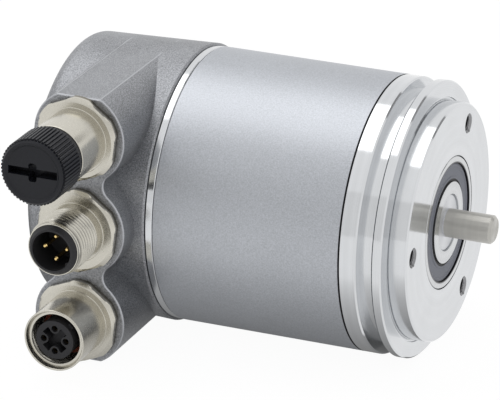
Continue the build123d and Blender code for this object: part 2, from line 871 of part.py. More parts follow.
with BuildPart() as bus_controller:
    with BuildSketch(Plane.YZ.offset(bus_board_back)):
        with Locations((controller_y, controller_z)):
            Rectangle(controller_size, controller_size)
    extrude(amount=-controller_thickness)
save(bus_controller, "bus_controller")

with BuildPart() as bus_transformers:
    with BuildSketch(Plane.YZ.offset(bus_board_back)):
        with Locations((magnetics_y, magnetics_z)):
            with GridLocations(0, magnetics_spacing, 1, 2):
                Rectangle(magnetics_length, magnetics_width)
    extrude(amount=-magnetics_height)
save(bus_transformers, "bus_transformers")

with BuildPart() as status_light_pipes:
    with BuildSketch(Plane.YZ.offset(cap_back)):
        with GridLocations(0, light_pipe_spacing, 1, 3):
            Circle(light_pipe_radius)
    extrude(amount=bus_board_back - cap_back)
save(status_light_pipes, "status_light_pipes")


def hex_plate(z, thickness):
    """The hexagon that a connector is screwed in by, with its corners turned round."""
    with BuildSketch(Plane.XZ.offset(block_face)) as plate:
        with Locations((connector_x, z)):
            RegularPolygon(hex_across_flats / 2, 6, major_radius=False, rotation=hex_turn)
            Circle(hex_turned_radius, mode=Mode.INTERSECT)
    return extrude(plate.sketch, amount=thickness, mode=Mode.PRIVATE)


def connector_shell(z, barrel_radius, tip, bore_radius, tip_chamfer):
    """A screwed-in metal shell: stem, hexagon and barrel, bored for its insert and its plug."""
    with BuildPart() as shell:
        stem_end = block_face - stem_length
        revolve(section([
            (insert_radius + seat_gap, stem_end),
            (stem_radius, stem_end),
            (stem_radius, block_face),
            (stem_radius, hex_face),
            (barrel_radius, hex_face),
            (barrel_radius, tip - tip_chamfer),
            (barrel_radius - tip_chamfer, tip),
            (bore_radius, tip),
            (bore_radius, insert_shoulder),
            (insert_radius + seat_gap, insert_shoulder),
        ], socket_plane(z)), axis=socket_axis(z))
        add(hex_plate(z, hex_thickness))
        revolve(socket_ring(z, block_face, hex_face, insert_radius + seat_gap),
                axis=socket_axis(z), mode=Mode.SUBTRACT)
    return shell


def stem_seal(z):
    """The sealing ring under a connector's hexagon."""
    return socket_ring(z, block_face - stem_seal_depth + seat_gap, block_face - seat_gap,
                       stem_radius + stem_seal_width, stem_radius + seat_gap)


# Supply connector in the middle: threaded barrel with four pins inside a deep cavity
supply_z = 0.0
bus_in_z = connector_spacing
bus_out_z = -connector_spacing
tail_end = connector_board_place - board_thickness - solder_tail_length
save(connector_shell(supply_z, male_radius, male_tip, male_bore_radius, male_tip_chamfer), "supply_shell")
for bus, z in (("bus_in", bus_in_z), ("bus_out", bus_out_z)):
    female_shell = connector_shell(z, female_radius, female_tip, female_bore_radius, edge_chamfer)
    save(female_shell, f"{bus}_shell")

with BuildPart() as supply_insert:
    insert_face = male_tip + male_insert_stand_out
    cavity_floor = insert_face - male_cavity_depth
    revolve(section([
        (0, insert_rear),
        (insert_radius, insert_rear),
        (insert_radius, insert_shoulder + seat_gap),
        (male_bore_radius - seat_gap, insert_shoulder + seat_gap),
        (male_bore_radius - seat_gap, male_tip),
        (male_cavity_radius + male_insert_rim, insert_face),
        (male_cavity_radius, insert_face),
        (male_cavity_radius, cavity_floor),
        (0, cavity_floor),
    ], socket_plane(supply_z)), axis=socket_axis(supply_z))
    with BuildSketch(Plane.XZ.offset(cavity_floor)):
        with Locations((connector_x, supply_z)):
            with PolarLocations(male_cavity_radius, 1, -key_angle):
                Circle(key_height)
            Circle(male_cavity_radius + key_height, mode=Mode.INTERSECT)
    extrude(amount=male_cavity_depth - key_width)
    with BuildSketch(Plane.XZ.offset(insert_rear)):
        with Locations(*contact_places(supply_z)):
            Circle(contact_radius + seat_gap)
    extrude(amount=cavity_floor - insert_rear, mode=Mode.SUBTRACT)
save(supply_insert, "supply_insert")

with BuildPart() as supply_pins:
    pin_tip = insert_face - contact_recess
    for u, v in contact_places(supply_z):
        pin_axis = Axis((u, 0, v), (0, -1, 0))
        pin_plane = Plane(origin=(u, 0, v), x_dir=(1, 0, 0), z_dir=(0, 0, -1))
        revolve(section([
            (0, tail_end),
            (contact_tail_radius, tail_end),
            (contact_tail_radius, insert_rear),
            (contact_radius, insert_rear),
            (contact_radius, pin_tip - contact_radius / 2),
            (contact_radius / 2, pin_tip),
            (0, pin_tip),
        ], pin_plane), axis=pin_axis)
save(supply_pins, "supply_pins")


def female_insert(z):
    """A socket insert: a nose with four holes around a cross-shaped recess, and a coding rib."""
    face = female_tip - female_insert_recess
    with BuildPart() as insert:
        revolve(section([
            (0, insert_rear),
            (insert_radius, insert_rear),
            (insert_radius, insert_shoulder + seat_gap),
            (female_nose_radius, insert_shoulder + seat_gap),
            (female_nose_radius, face),
            (0, face),
        ], socket_plane(z)), axis=socket_axis(z))
        with BuildSketch(Plane.XZ.offset(insert_shoulder + seat_gap)):
            with Locations((connector_x, z)):
                with PolarLocations(female_nose_radius, 1, key_angle):
                    Rectangle(2 * key_height, key_width)
        extrude(amount=face - insert_shoulder - key_setback)
        with BuildSketch(Plane.XZ.offset(face)):
            with Locations(Location((connector_x, z), key_angle)):
                Rectangle(cross_recess_length, cross_recess_width)
                Rectangle(cross_recess_width, cross_recess_length)
                Circle(cross_centre_radius)
            with Locations(*contact_places(z)):
                Circle(socket_wall_radius, mode=Mode.SUBTRACT)
        extrude(amount=-cross_recess_depth, mode=Mode.SUBTRACT)
        with BuildSketch(Plane.XZ.offset(face)):
            with Locations(*contact_places(z)):
                Circle(socket_mouth_radius)
        extrude(amount=insert_rear - face, mode=Mode.SUBTRACT)
        with BuildSketch(Plane.XZ.offset(face - socket_mouth_depth)):
            with Locations(*contact_places(z)):
                Circle(socket_radius + seat_gap)
        extrude(amount=insert_rear - face, mode=Mode.SUBTRACT)
    return insert


def female_sockets(z):
    """The four tubular contacts of a female connector, with solder tails."""
    mouth = female_tip - female_insert_recess - socket_mouth_depth - running_gap
    with BuildPart() as sockets:
        with BuildSketch(Plane.XZ.offset(insert_rear)):
            with Locations(*contact_places(z)):
                Circle(socket_radius)
        extrude(amount=mouth - insert_rear)
        with BuildSketch(Plane.XZ.offset(mouth)):
            with Locations(*contact_places(z)):
                Circle(contact_radius)
        extrude(amount=insert_shoulder - mouth, mode=Mode.SUBTRACT)
        with BuildSketch(Plane.XZ.offset(tail_end)):
            with Locations(*contact_places(z)):
                Circle(contact_tail_radius)
        extrude(amount=insert_rear - tail_end)
    return sockets


for bus, z in (("bus_in", bus_in_z), ("bus_out", bus_out_z)):
    save(female_insert(z), f"{bus}_insert")
    save(female_sockets(z), f"{bus}_contacts")

with BuildPart() as connector_seals:
    for z in connector_heights:
        revolve(stem_seal(z), axis=socket_axis(z))
save(connector_seals, "connector_seals")

with BuildPart() as face_seals:
    for z in (bus_in_z, bus_out_z):
        revolve(socket_ring(z, insert_shoulder + seat_gap, insert_shoulder + key_width,
                            female_bore_radius - seat_gap, female_nose_radius + key_height + seat_gap),
                axis=socket_axis(z))
save(face_seals, "face_seals")

# Narrow board that the connectors' tails are soldered to, behind the wall of the block
with BuildPart() as connector_board:
    extrude(block_outline(cap_wall + board_play, connector_board_place), amount=-board_thickness)
    for z in connector_heights:
        with BuildSketch(Plane.XZ.offset(connector_board_place)):
            with Locations(*contact_places(z)):
                Circle(contact_tail_radius + seat_gap)
        extrude(amount=-board_thickness, mode=Mode.SUBTRACT)
save(connector_board, "connector_board")

# Screw cap on the upper connector: fluted head with a dished face and a coin slot, and a tubular stem
with BuildPart() as screw_cap:
    head_start = female_tip + screw_cap_seal_thickness
    flutes_end = screw_cap_end - screw_cap_rim_height
    valley_radius = screw_cap_radius - flute_depth
    flute_step = 360 / flute_count
    fluted = []
    for k in range(flute_count):
        for radius, share in ((screw_cap_radius, 0), (screw_cap_radius, crest_share),
                              (valley_radius, crest_share + flank_share),
                              (valley_radius, 1 - flank_share)):
            u, v = around(radius, flute_step * (k + share))
            fluted.append((connector_x + u, bus_in_z + v))
    extrude(section(fluted, Plane.XZ.offset(head_start)), amount=flutes_end - head_start)
    head_rim_radius = valley_radius - running_gap
    revolve(section([
        (0, flutes_end),
        (head_rim_radius, flutes_end),
        (head_rim_radius, screw_cap_end - screw_cap_rim_height / 2),
        (head_rim_radius - screw_cap_rim_height / 2, screw_cap_end),
        (dish_radius, screw_cap_end),
        (dish_radius - dish_depth, screw_cap_end - dish_depth),
        (0, screw_cap_end - dish_depth),
    ], socket_plane(bus_in_z)), axis=socket_axis(bus_in_z))
    stem_end = female_tip - screw_cap_stem_length
    revolve(socket_ring(bus_in_z, stem_end, head_start + running_gap, screw_cap_stem_radius,
                        screw_cap_stem_radius - screw_cap_stem_wall), axis=socket_axis(bus_in_z))
    with BuildSketch(Plane.XZ.offset(screw_cap_end)):
        with Locations((connector_x, bus_in_z)):
            Rectangle(slot_length, slot_width)
            RectangleRounded(cross_slot_width, cross_slot_length, cross_slot_round)
    extrude(amount=-slot_depth, mode=Mode.SUBTRACT)
save(screw_cap, "screw_cap")

with BuildPart() as screw_cap_seal:
    revolve(socket_ring(bus_in_z, female_tip + seat_gap, head_start - seat_gap, screw_cap_seal_radius,
                        screw_cap_stem_radius + running_gap), axis=socket_axis(bus_in_z))
save(screw_cap_seal, "screw_cap_seal")
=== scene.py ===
"""Absolute rotary encoder: its finishes, threads and small rings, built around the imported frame.

The file is laid out as an add-on. Each operator makes one piece or one group of like pieces, and
a panel in the 3D view's sidebar lists them. Places come from the frame, and lengths are in metres.
"""

import json
from math import pi, radians, sqrt

import bpy
import numpy as np
from bpy.props import FloatProperty, FloatVectorProperty, IntProperty, PointerProperty
from mathutils import Matrix, Vector


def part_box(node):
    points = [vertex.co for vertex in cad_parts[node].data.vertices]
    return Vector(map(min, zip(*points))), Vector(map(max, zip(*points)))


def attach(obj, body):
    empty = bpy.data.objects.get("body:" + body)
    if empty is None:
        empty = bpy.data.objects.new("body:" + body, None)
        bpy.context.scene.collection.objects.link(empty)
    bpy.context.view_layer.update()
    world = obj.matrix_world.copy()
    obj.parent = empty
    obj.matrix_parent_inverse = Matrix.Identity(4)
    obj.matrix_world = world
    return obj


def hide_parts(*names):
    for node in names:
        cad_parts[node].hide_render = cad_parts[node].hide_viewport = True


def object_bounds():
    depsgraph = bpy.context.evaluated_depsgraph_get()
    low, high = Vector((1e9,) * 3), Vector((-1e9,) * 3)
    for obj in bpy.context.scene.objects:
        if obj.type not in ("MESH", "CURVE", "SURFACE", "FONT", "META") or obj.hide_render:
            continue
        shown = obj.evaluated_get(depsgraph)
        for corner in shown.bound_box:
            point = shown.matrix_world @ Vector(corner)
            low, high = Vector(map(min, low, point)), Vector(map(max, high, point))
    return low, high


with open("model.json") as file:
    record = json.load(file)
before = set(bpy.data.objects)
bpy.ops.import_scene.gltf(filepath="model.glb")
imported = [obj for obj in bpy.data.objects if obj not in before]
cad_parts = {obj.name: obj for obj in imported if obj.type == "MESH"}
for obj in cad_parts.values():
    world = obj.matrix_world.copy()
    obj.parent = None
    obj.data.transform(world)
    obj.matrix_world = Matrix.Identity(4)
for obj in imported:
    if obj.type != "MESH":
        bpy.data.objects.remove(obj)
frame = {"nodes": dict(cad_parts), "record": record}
cad_low, cad_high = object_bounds()

bl_info = {
    "name": "Rotary encoder finishes",
    "version": (1, 0, 0),
    "blender": (4, 5, 0),
    "location": "View3D > Sidebar > Encoder",
    "description": "Metal and plastic finishes, threads, sealing lips and studio of a rotary encoder",
    "category": "Object",
}

SMOOTH_ANGLE = radians(15)
SHAFT_AXES = (np.array((1.0, 0, 0)), np.array((0, 1.0, 0)), np.array((0, 0, 1.0)))
PLUG_AXES = (np.array((0, -1.0, 0)), np.array((1.0, 0, 0)), np.array((0, 0, 1.0)))
BLOCK_FACE = -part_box("rear_cap")[0].y
LOBE_RADIUS = 0.01005
LOBE_INSET = 0.00065
# Share of the painted shade at the root of a thread
ROOT_SHADE = 0.75
SEAT = 0.00002

# The hexagon's bevel: how far down and how far inwards each of its corners lies, in bevel widths
BEVEL_SHAPE = ((0.6, 0.0), (0.34, 0.4), (0.12, 0.76), (0.0, 1.0))

# Depths in a countersink between which its lining is straight
MOUTH_START = 0.00006
MOUTH_END = 0.0002

# Half widths of the fine lines along edges and joints, and how far two of them lie off.
# The tube's line is a dark joint. The lines along the block's and the lobes' edges and on the shaft
# at the bearing are painted highlights. The lines at the shells' foot, the bearing's rims and the
# shield's lip and rim are painted shade.
TUBE_JOINT = 0.0002
BLOCK_EDGE_HIGHLIGHT = 0.0001
BLOCK_OFFSET = 0.0002
LOBE_EDGE_HIGHLIGHT = 0.00014
SHELL_FOOT_SHADE = 0.00075
JOURNAL_HIGHLIGHT = 0.00052
OUTER_RIM_SHADE = 0.00025
SHIELD_SEAT_SHADE = 0.0003
SHIELD_RIM_SHADE = 0.00022
LIP_GAP_SHADE = 0.00045
LIP_OFFSET = 0.00025

# Half sides of the cards that only reflections show, and the stretch over which the last one, a painted
# shadow under the tube, darkens
FRONT_SIDES = ((1.6, 0, 0), (0, 0.25, 0.5))
FLAG_SIDES = ((0.118, -0.16, 0.084), (0.082, 0.008, -0.1))
SHADE_SIDES = ((0.16, 0, 0), (0, 0.1, 0))
SHADE_ENDS = (-0.064, -0.002)
SHADE_RISE = 0.0003


class MetalFinish(bpy.types.PropertyGroup):
    """Colours and grain of the metal parts."""

    aluminium: FloatVectorProperty(
        name="Turned aluminium", description="Colour of the flange and the rear ring",
        default=(0.655, 0.668, 0.685), subtype="COLOR", min=0, max=1)
    tube: FloatVectorProperty(
        name="Satin tube", description="Colour of the coated housing tube",
        default=(0.455, 0.472, 0.503), subtype="COLOR", min=0, max=1)
    casting: FloatVectorProperty(
        name="Casting", description="Colour of the shot-blasted rear cap",
        default=(0.31, 0.317, 0.333), subtype="COLOR", min=0, max=1)
    nickel: FloatVectorProperty(
        name="Nickel plating", description="Warm colour of the connector shells",
        default=(0.585, 0.563, 0.5), subtype="COLOR", min=0, max=1)
    steel: FloatVectorProperty(
        name="Ground steel", description="Colour of the shaft",
        default=(0.49, 0.481, 0.452), subtype="COLOR", min=0, max=1)
    # The journal's colour is a painted highlight on the face round the shaft
    journal_highlight: FloatVectorProperty(
        name="Journal face", description="Colour of the bright face round the shaft",
        default=(0.62, 0.63, 0.65), subtype="COLOR", min=0, max=1)
    marks: FloatProperty(
        name="Turning feed", description="Distance between the tool's rings",
        default=0.00016, unit="LENGTH", min=1e-5)
    grain: FloatProperty(
        name="Blast grain", description="Size of the casting's and the coating's grain",
        default=0.00028, unit="LENGTH", min=1e-5)
    turned_spread: FloatProperty(
        name="Turned spread", description="How far reflections spread across the rings of turned parts",
        default=0.8, subtype="FACTOR", min=0, max=1)
    ground_spread: FloatProperty(
        name="Ground spread", description="How far reflections spread along the ground shaft",
        default=0.97, subtype="FACTOR", min=0, max=1)


class PlasticFinish(bpy.types.PropertyGroup):
    """Colours of the plastic, rubber and board parts."""

    insert: FloatVectorProperty(
        name="Inserts", description="Colour of the connector inserts",
        default=(0.028, 0.028, 0.031), subtype="COLOR", min=0, max=1)
    cap: FloatVectorProperty(
        name="Screw cap", description="Colour of the fluted screw cap",
        default=(0.011, 0.012, 0.017), subtype="COLOR", min=0, max=1)
    shield: FloatVectorProperty(
        name="Bearing shield", description="Colour of the bearing's rubber shields",
        default=(0.228, 0.24, 0.283), subtype="COLOR", min=0, max=1)
    seal: FloatVectorProperty(
        name="Face seal", description="Colour of the seals inside the connectors",
        default=(0.55, 0.11, 0.04), subtype="COLOR", min=0, max=1)
    board: FloatVectorProperty(
        name="Boards", description="Colour of the circuit boards",
        default=(0.02, 0.13, 0.05), subtype="COLOR", min=0, max=1)


class ConnectorSizes(bpy.types.PropertyGroup):
    """Sizes of the screwed-in connector shells."""

    flats: FloatProperty(
        name="Across flats", description="Hexagon across its flats", default=0.017, unit="LENGTH")
    turned_radius: FloatProperty(
        name="Turned radius", description="Radius that the hexagon's corners are turned to",
        default=0.009, unit="LENGTH")
    hex_height: FloatProperty(
        name="Hexagon height", description="Thickness of the hexagon", default=0.0019, unit="LENGTH")
    hex_turn: FloatProperty(
        name="Hexagon turn", description="Angle of one corner from +X towards +Z",
        default=radians(23), subtype="ANGLE")
    hex_bevel: FloatProperty(
        name="Hexagon bevel", description="Width of the turned bevel round the hexagon",
        default=0.0009, unit="LENGTH")
    root_ring: FloatProperty(
        name="Root ring", description="How far the ring at a barrel's root stands out",
        default=0.00045, unit="LENGTH")
    flare_depth: FloatProperty(
        name="Flare", description="Depth of the bevelled mouth of a female shell",
        default=0.00095, unit="LENGTH")
    stem_radius: FloatProperty(
        name="Stem radius", description="Radius of the stem in the block", default=0.00695, unit="LENGTH")
    insert_bore: FloatProperty(
        name="Insert bore", description="Radius of the bore that holds the insert",
        default=0.00497, unit="LENGTH")
    shoulder_rise: FloatProperty(
        name="Shoulder", description="Insert's shoulder above the block's face",
        default=0.0031, unit="LENGTH")
    male_barrel: FloatProperty(
        name="Male barrel", description="Radius over the outer thread", default=0.006, unit="LENGTH")
    male_bore: FloatProperty(
        name="Male bore", description="Radius of the male shell's bore", default=0.00535, unit="LENGTH")
    female_barrel: FloatProperty(
        name="Female barrel", description="Radius of the female shells", default=0.00665, unit="LENGTH")
    female_bore: FloatProperty(
        name="Female bore", description="Radius inside the inner thread", default=0.00545, unit="LENGTH")
    lip: FloatProperty(
        name="Female lip", description="Rounding of a female shell's open end",
        default=0.0002, unit="LENGTH")
    male_lip: FloatProperty(
        name="Male lip", description="Rounding of the male shell's open end",
        default=0.00004, unit="LENGTH")
    pitch: FloatProperty(
        name="Thread pitch", description="Pitch of the connector threads", default=0.001, unit="LENGTH")
    thread_depth: FloatProperty(
        name="Thread depth", description="Depth of the connector threads", default=0.00046, unit="LENGTH")
    relief: FloatProperty(
        name="Thread relief", description="Plain length between hexagon and thread",
        default=0.0011, unit="LENGTH")
    columns: IntProperty(name="Columns", description="Faces around a shell", default=180, min=24)


class FlangeDetails(bpy.types.PropertyGroup):
    """Sizes of the small things on the flange."""

    hole_circle: FloatProperty(
        name="Fixing circle", description="Radius of the fixing holes' circle",
        default=0.021, unit="LENGTH")
    hole_radius: FloatProperty(
        name="Hole radius", description="Radius of a fixing hole", default=0.00165, unit="LENGTH")
    hole_depth: FloatProperty(
        name="Thread length", description="Length of the thread in a fixing hole",
        default=0.0068, unit="LENGTH")
    hole_pitch: FloatProperty(
        name="Fixing pitch", description="Pitch of the fixing threads", default=0.0007, unit="LENGTH")
    countersink: FloatProperty(
        name="Countersink", description="Depth at which the thread starts", default=0.0005, unit="LENGTH")
    mouth: FloatProperty(
        name="Mouth", description="Radius of a hole at the face, in its countersink",
        default=0.00205, unit="LENGTH")
    thread_height: FloatProperty(
        name="Fixing thread height", description="How far the thread's ridges stand into the hole",
        default=0.00017, unit="LENGTH")
    relief_inside: FloatProperty(
        name="Relief inside", description="Inner radius of the relief at the collar's root",
        default=0.02502, unit="LENGTH")
    relief_outside: FloatProperty(
        name="Relief outside", description="Outer radius of the relief", default=0.02556, unit="LENGTH")
    relief_bottom: FloatProperty(
        name="Relief bottom", description="Depth of the relief in the flange",
        default=0.00048, unit="LENGTH")
    relief_floor: FloatProperty(
        name="Relief floor", description="Depth at which the relief's bead lies",
        default=0.00014, unit="LENGTH")
    lip_width: FloatProperty(
        name="Lip width", description="Half width of the shield's inner lip",
        default=0.00034, unit="LENGTH")
    lip_rise: FloatProperty(
        name="Lip rise", description="How far the lip stands out of the shield",
        default=0.00016, unit="LENGTH")


class StudioSettings(bpy.types.PropertyGroup):
    """Light, cards, floor and camera."""

    floor_height: FloatProperty(
        name="Floor", description="Height of the floor", default=cad_low.z, unit="LENGTH")
    floor_size: FloatProperty(
        name="Floor size", description="Side of the floor", default=6.0, unit="LENGTH")
    floor_colour: FloatVectorProperty(
        name="Floor colour", description="Colour of the floor's paper",
        default=(0.82, 0.82, 0.82), subtype="COLOR", min=0, max=1)
    floor_gain: FloatProperty(
        name="Floor gain", description="The floor's glow over the surround's", default=1.06, min=0)
    floor_share: FloatProperty(
        name="Floor share", description="Share of the glow in what is seen of the floor",
        default=0.9, subtype="FACTOR", min=0, max=1)
    glow: FloatProperty(
        name="Background level", description="White level of what the camera sees", default=1.0, min=0)
    ambient: FloatProperty(
        name="Ambient level", description="Level of the soft light from all sides", default=0.5, min=0)
    key_level: FloatProperty(
        name="Key level", description="Brightness of the overhead softbox", default=1.22, min=0)
    key_size: FloatVectorProperty(
        name="Key size", description="Sides of the overhead softbox",
        default=(0.72, 0.76), size=2, unit="LENGTH")
    key_place: FloatVectorProperty(
        name="Key place", description="Place of the overhead softbox",
        default=(-0.33, 0.075, 0.85), subtype="TRANSLATION")
    front_level: FloatProperty(
        name="Front level", description="Level of the card behind the camera", default=0.85, min=0)
    front_place: FloatVectorProperty(
        name="Front place", description="Place of the card behind the camera",
        default=(0.3, -1.6, 0.45), subtype="TRANSLATION")
    flag_level: FloatProperty(
        name="Flag level", description="Level of the grey card that the bevels mirror", default=0.3, min=0)
    flag_place: FloatVectorProperty(
        name="Flag place", description="Place of that grey card",
        default=(0.6, 0.58, 0.52), subtype="TRANSLATION")
    # The shade card is a painted shadow of the object on the floor, seen only in reflections
    shade_level: FloatProperty(
        name="Shade level", description="Level of the floor as seen from under the tube",
        default=0.12, min=0)
    shade_place: FloatVectorProperty(
        name="Shade place", description="X and Y of the shade card's middle",
        default=(-0.16, 0.017), size=2, unit="LENGTH")
    camera_place: FloatVectorProperty(
        name="Camera place", description="Place of the camera",
        default=(0.2609, -0.7362, 0.3135), subtype="TRANSLATION")
    camera_right: FloatVectorProperty(
        name="Camera right", description="Direction of the picture's width",
        default=(0.92364, 0.38307, 0.01239), subtype="DIRECTION")
    camera_up: FloatVectorProperty(
        name="Camera up", description="Direction of the picture's height",
        default=(-0.15200, 0.33642, 0.92936), subtype="DIRECTION")
    camera_lens: FloatProperty(
        name="Lens", description="Focal length in millimetres", default=293.96, min=1)


# Shader nodes
def add_node(tree, kind, **settings):
    """A node of a kind, with its settings."""
    made = tree.nodes.new(kind)
    for name, value in settings.items():
        setattr(made, name, value)
    return made


def empty_tree(owner):
    """The node tree of a new material or world, emptied."""
    owner.use_nodes = True
    owner.node_tree.nodes.clear()
    return owner.node_tree


def show(tree, shader, kind="Material"):
    """Make a shader the surface of a material, or of a world."""
    tree.links.new(shader.outputs[0], add_node(tree, f"ShaderNodeOutput{kind}").inputs["Surface"])


def object_point(tree):
    """A point of the surface, in the object's own coordinates."""
    return add_node(tree, "ShaderNodeTexCoord").outputs["Object"]


def feed(tree, target, source):
    """Link a socket to an input, or set the input to a value."""
    if isinstance(source, bpy.types.NodeSocket):
        tree.links.new(source, target)
    else:
        target.default_value = source


def calc(tree, operation, *sources):
    """The result of a math node."""
    made = add_node(tree, "ShaderNodeMath", operation=operation)
    for target, source in zip(made.inputs, sources):
        feed(tree, target, source)
    return made.outputs[0]


def blend(tree, share, first, second):
    """The first value where the share is 0, and the second where it is 1."""
    change = calc(tree, "SUBTRACT", second, first)
    return calc(tree, "ADD", first, calc(tree, "MULTIPLY", change, share))


def contrast(tree, value, gain):
    """The value moved away from a half by a gain, kept between 0 and 1."""
    moved = calc(tree, "MULTIPLY_ADD", value, gain, 0.5 - gain / 2)
    moved.node.use_clamp = True
    return moved


def new_group(name, inputs, outputs):
    """An empty node group with float sockets: its tree, its inputs by name and its output node."""
    tree = bpy.data.node_groups.new(name, "ShaderNodeTree")
    for label, default in inputs.items():
        socket = tree.interface.new_socket(label, in_out="INPUT", socket_type="NodeSocketFloat")
        socket.default_value = default
    for label in outputs:
        tree.interface.new_socket(label, in_out="OUTPUT", socket_type="NodeSocketFloat")
    return tree, add_node(tree, "NodeGroupInput").outputs, add_node(tree, "NodeGroupOutput").inputs


def object_place(tree):
    """The X, Y and Z of a point of the surface."""
    split = add_node(tree, "ShaderNodeSeparateXYZ")
    tree.links.new(object_point(tree), split.inputs[0])
    return split.outputs


def noise(tree, scale, detail=2.0, along=None):
    """Noise over the surface, or over one length where along is given."""
    made = add_node(tree, "ShaderNodeTexNoise", noise_dimensions="3D" if along is None else "1D")
    made.inputs["Detail"].default_value = detail
    feed(tree, made.inputs["Scale"], scale)
    if along is None:
        tree.links.new(object_point(tree), made.inputs["Vector"])
    else:
        feed(tree, made.inputs["W"], along)
    return made.outputs[0]


def radius_of(tree, place):
    """Distance from the shaft's axis."""
    squares = [calc(tree, "MULTIPLY", place[k], place[k]) for k in (1, 2)]
    return calc(tree, "SQRT", calc(tree, "ADD", *squares))


def turning_marks():
    """Rings left by the tool: noise along the radius plus the way along the axis, over the feed."""
    tree, given, result = new_group("Turning marks", {"Feed": 0.0002}, ("Tone", "Height"))
    place = object_place(tree)
    way = calc(tree, "ADD", radius_of(tree, place), calc(tree, "MULTIPLY", place[0], 1.3))
    turns = calc(tree, "DIVIDE", way, given["Feed"])
    fine = noise(tree, 1.0, 2.0, along=turns)
    broad = noise(tree, 0.06, 2.0, along=turns)
    cloud = noise(tree, 160.0, 2.0)
    rings = blend(tree, 0.45, fine, broad)
    feed(tree, result["Tone"], contrast(tree, blend(tree, 0.25, rings, cloud), 2.4))
    feed(tree, result["Height"], rings)


def fine_grain():
    """Grain of a coated, moulded or ground surface: noise at the grain's size over a broad cloud."""
    tree, given, result = new_group("Fine grain", {"Grain": 0.0003, "Cloud": 0.2}, ("Tone", "Height"))
    grain = noise(tree, calc(tree, "DIVIDE", 1.0, given["Grain"]), 3.0)
    cloud = noise(tree, 90.0, 2.0)
    feed(tree, result["Tone"], contrast(tree, blend(tree, given["Cloud"], grain, cloud), 2.6))
    feed(tree, result["Height"], grain)


def cast_skin():
    """Blasted skin: dimples at two sizes, a broad cloud, and painted glints on small facets."""
    tree, given, result = new_group("Cast skin", {"Grain": 0.0003}, ("Tone", "Height", "Painted glints"))
    scale = calc(tree, "DIVIDE", 1.0, given["Grain"])
    dimples = noise(tree, scale, 3.0)
    waves = noise(tree, calc(tree, "MULTIPLY", scale, 0.22), 2.0)
    cloud = noise(tree, 70.0, 2.0)
    cells = add_node(tree, "ShaderNodeTexVoronoi")
    tree.links.new(object_point(tree), cells.inputs["Vector"])
    feed(tree, cells.inputs["Scale"], calc(tree, "MULTIPLY", scale, 0.8))
    bright = calc(tree, "GREATER_THAN", cells.outputs["Color"], 0.62)
    near = calc(tree, "LESS_THAN", cells.outputs["Distance"], 0.34)
    feed(tree, result["Painted glints"], calc(tree, "MULTIPLY", calc(tree, "MULTIPLY", bright, near), 0.5))
    feed(tree, result["Tone"], contrast(tree, blend(tree, 0.2, dimples, cloud), 3.0))
    feed(tree, result["Height"], blend(tree, 0.4, dimples, waves))


def edge_line():
    """Mask of a narrow band of one coordinate: 1 at its middle, 0 from its half width on."""
    tree, given, result = new_group("Edge line", {"Coordinate": 0.0, "Middle": 0.0, "Half width": 0.001},
                                    ("Mask",))
    away = calc(tree, "ABSOLUTE", calc(tree, "SUBTRACT", given["Coordinate"], given["Middle"]))
    share = calc(tree, "SUBTRACT", 1.0, calc(tree, "DIVIDE", away, given["Half width"]))
    soft = calc(tree, "MULTIPLY", share, 3.0)
    soft.node.use_clamp = True
    feed(tree, result["Mask"], soft)


def code_tracks():
    """Rings of light and dark fields, each ring with twice as many fields as the one inside it."""
    tree, given, result = new_group("Code tracks", {"Inner": 0.0145, "Ring": 0.0006}, ("Tone", "Height"))
    place = object_place(tree)
    outwards = calc(tree, "SUBTRACT", radius_of(tree, place), given["Inner"])
    ring = calc(tree, "FLOOR", calc(tree, "DIVIDE", outwards, given["Ring"]))
    fields = calc(tree, "POWER", 2.0, calc(tree, "ADD", ring, 2.0))
    angle = calc(tree, "ARCTAN2", place[2], place[1])
    dark = calc(tree, "GREATER_THAN", calc(tree, "SINE", calc(tree, "MULTIPLY", angle, fields)), 0.0)
    outside = calc(tree, "GREATER_THAN", ring, -0.5)
    inside = calc(tree, "LESS_THAN", ring, 6.5)
    coded = calc(tree, "MULTIPLY", outside, inside)
    feed(tree, result["Tone"], calc(tree, "SUBTRACT", 1.0, calc(tree, "MULTIPLY", dark, coded)))
    feed(tree, result["Height"], noise(tree, 400.0))


def board_traces():
    """Copper runs under a board's lacquer: the borders of square cells."""
    tree, given, result = new_group("Board traces", {"Grain": 0.002}, ("Tone", "Height"))
    cells = add_node(tree, "ShaderNodeTexVoronoi", feature="DISTANCE_TO_EDGE")
    cells.inputs["Randomness"].default_value = 0.6
    tree.links.new(object_point(tree), cells.inputs["Vector"])
    feed(tree, cells.inputs["Scale"], calc(tree, "DIVIDE", 1.0, given["Grain"]))
    line = calc(tree, "LESS_THAN", cells.outputs["Distance"], 0.09)
    feed(tree, result["Tone"], line)
    feed(tree, result["Height"], line)


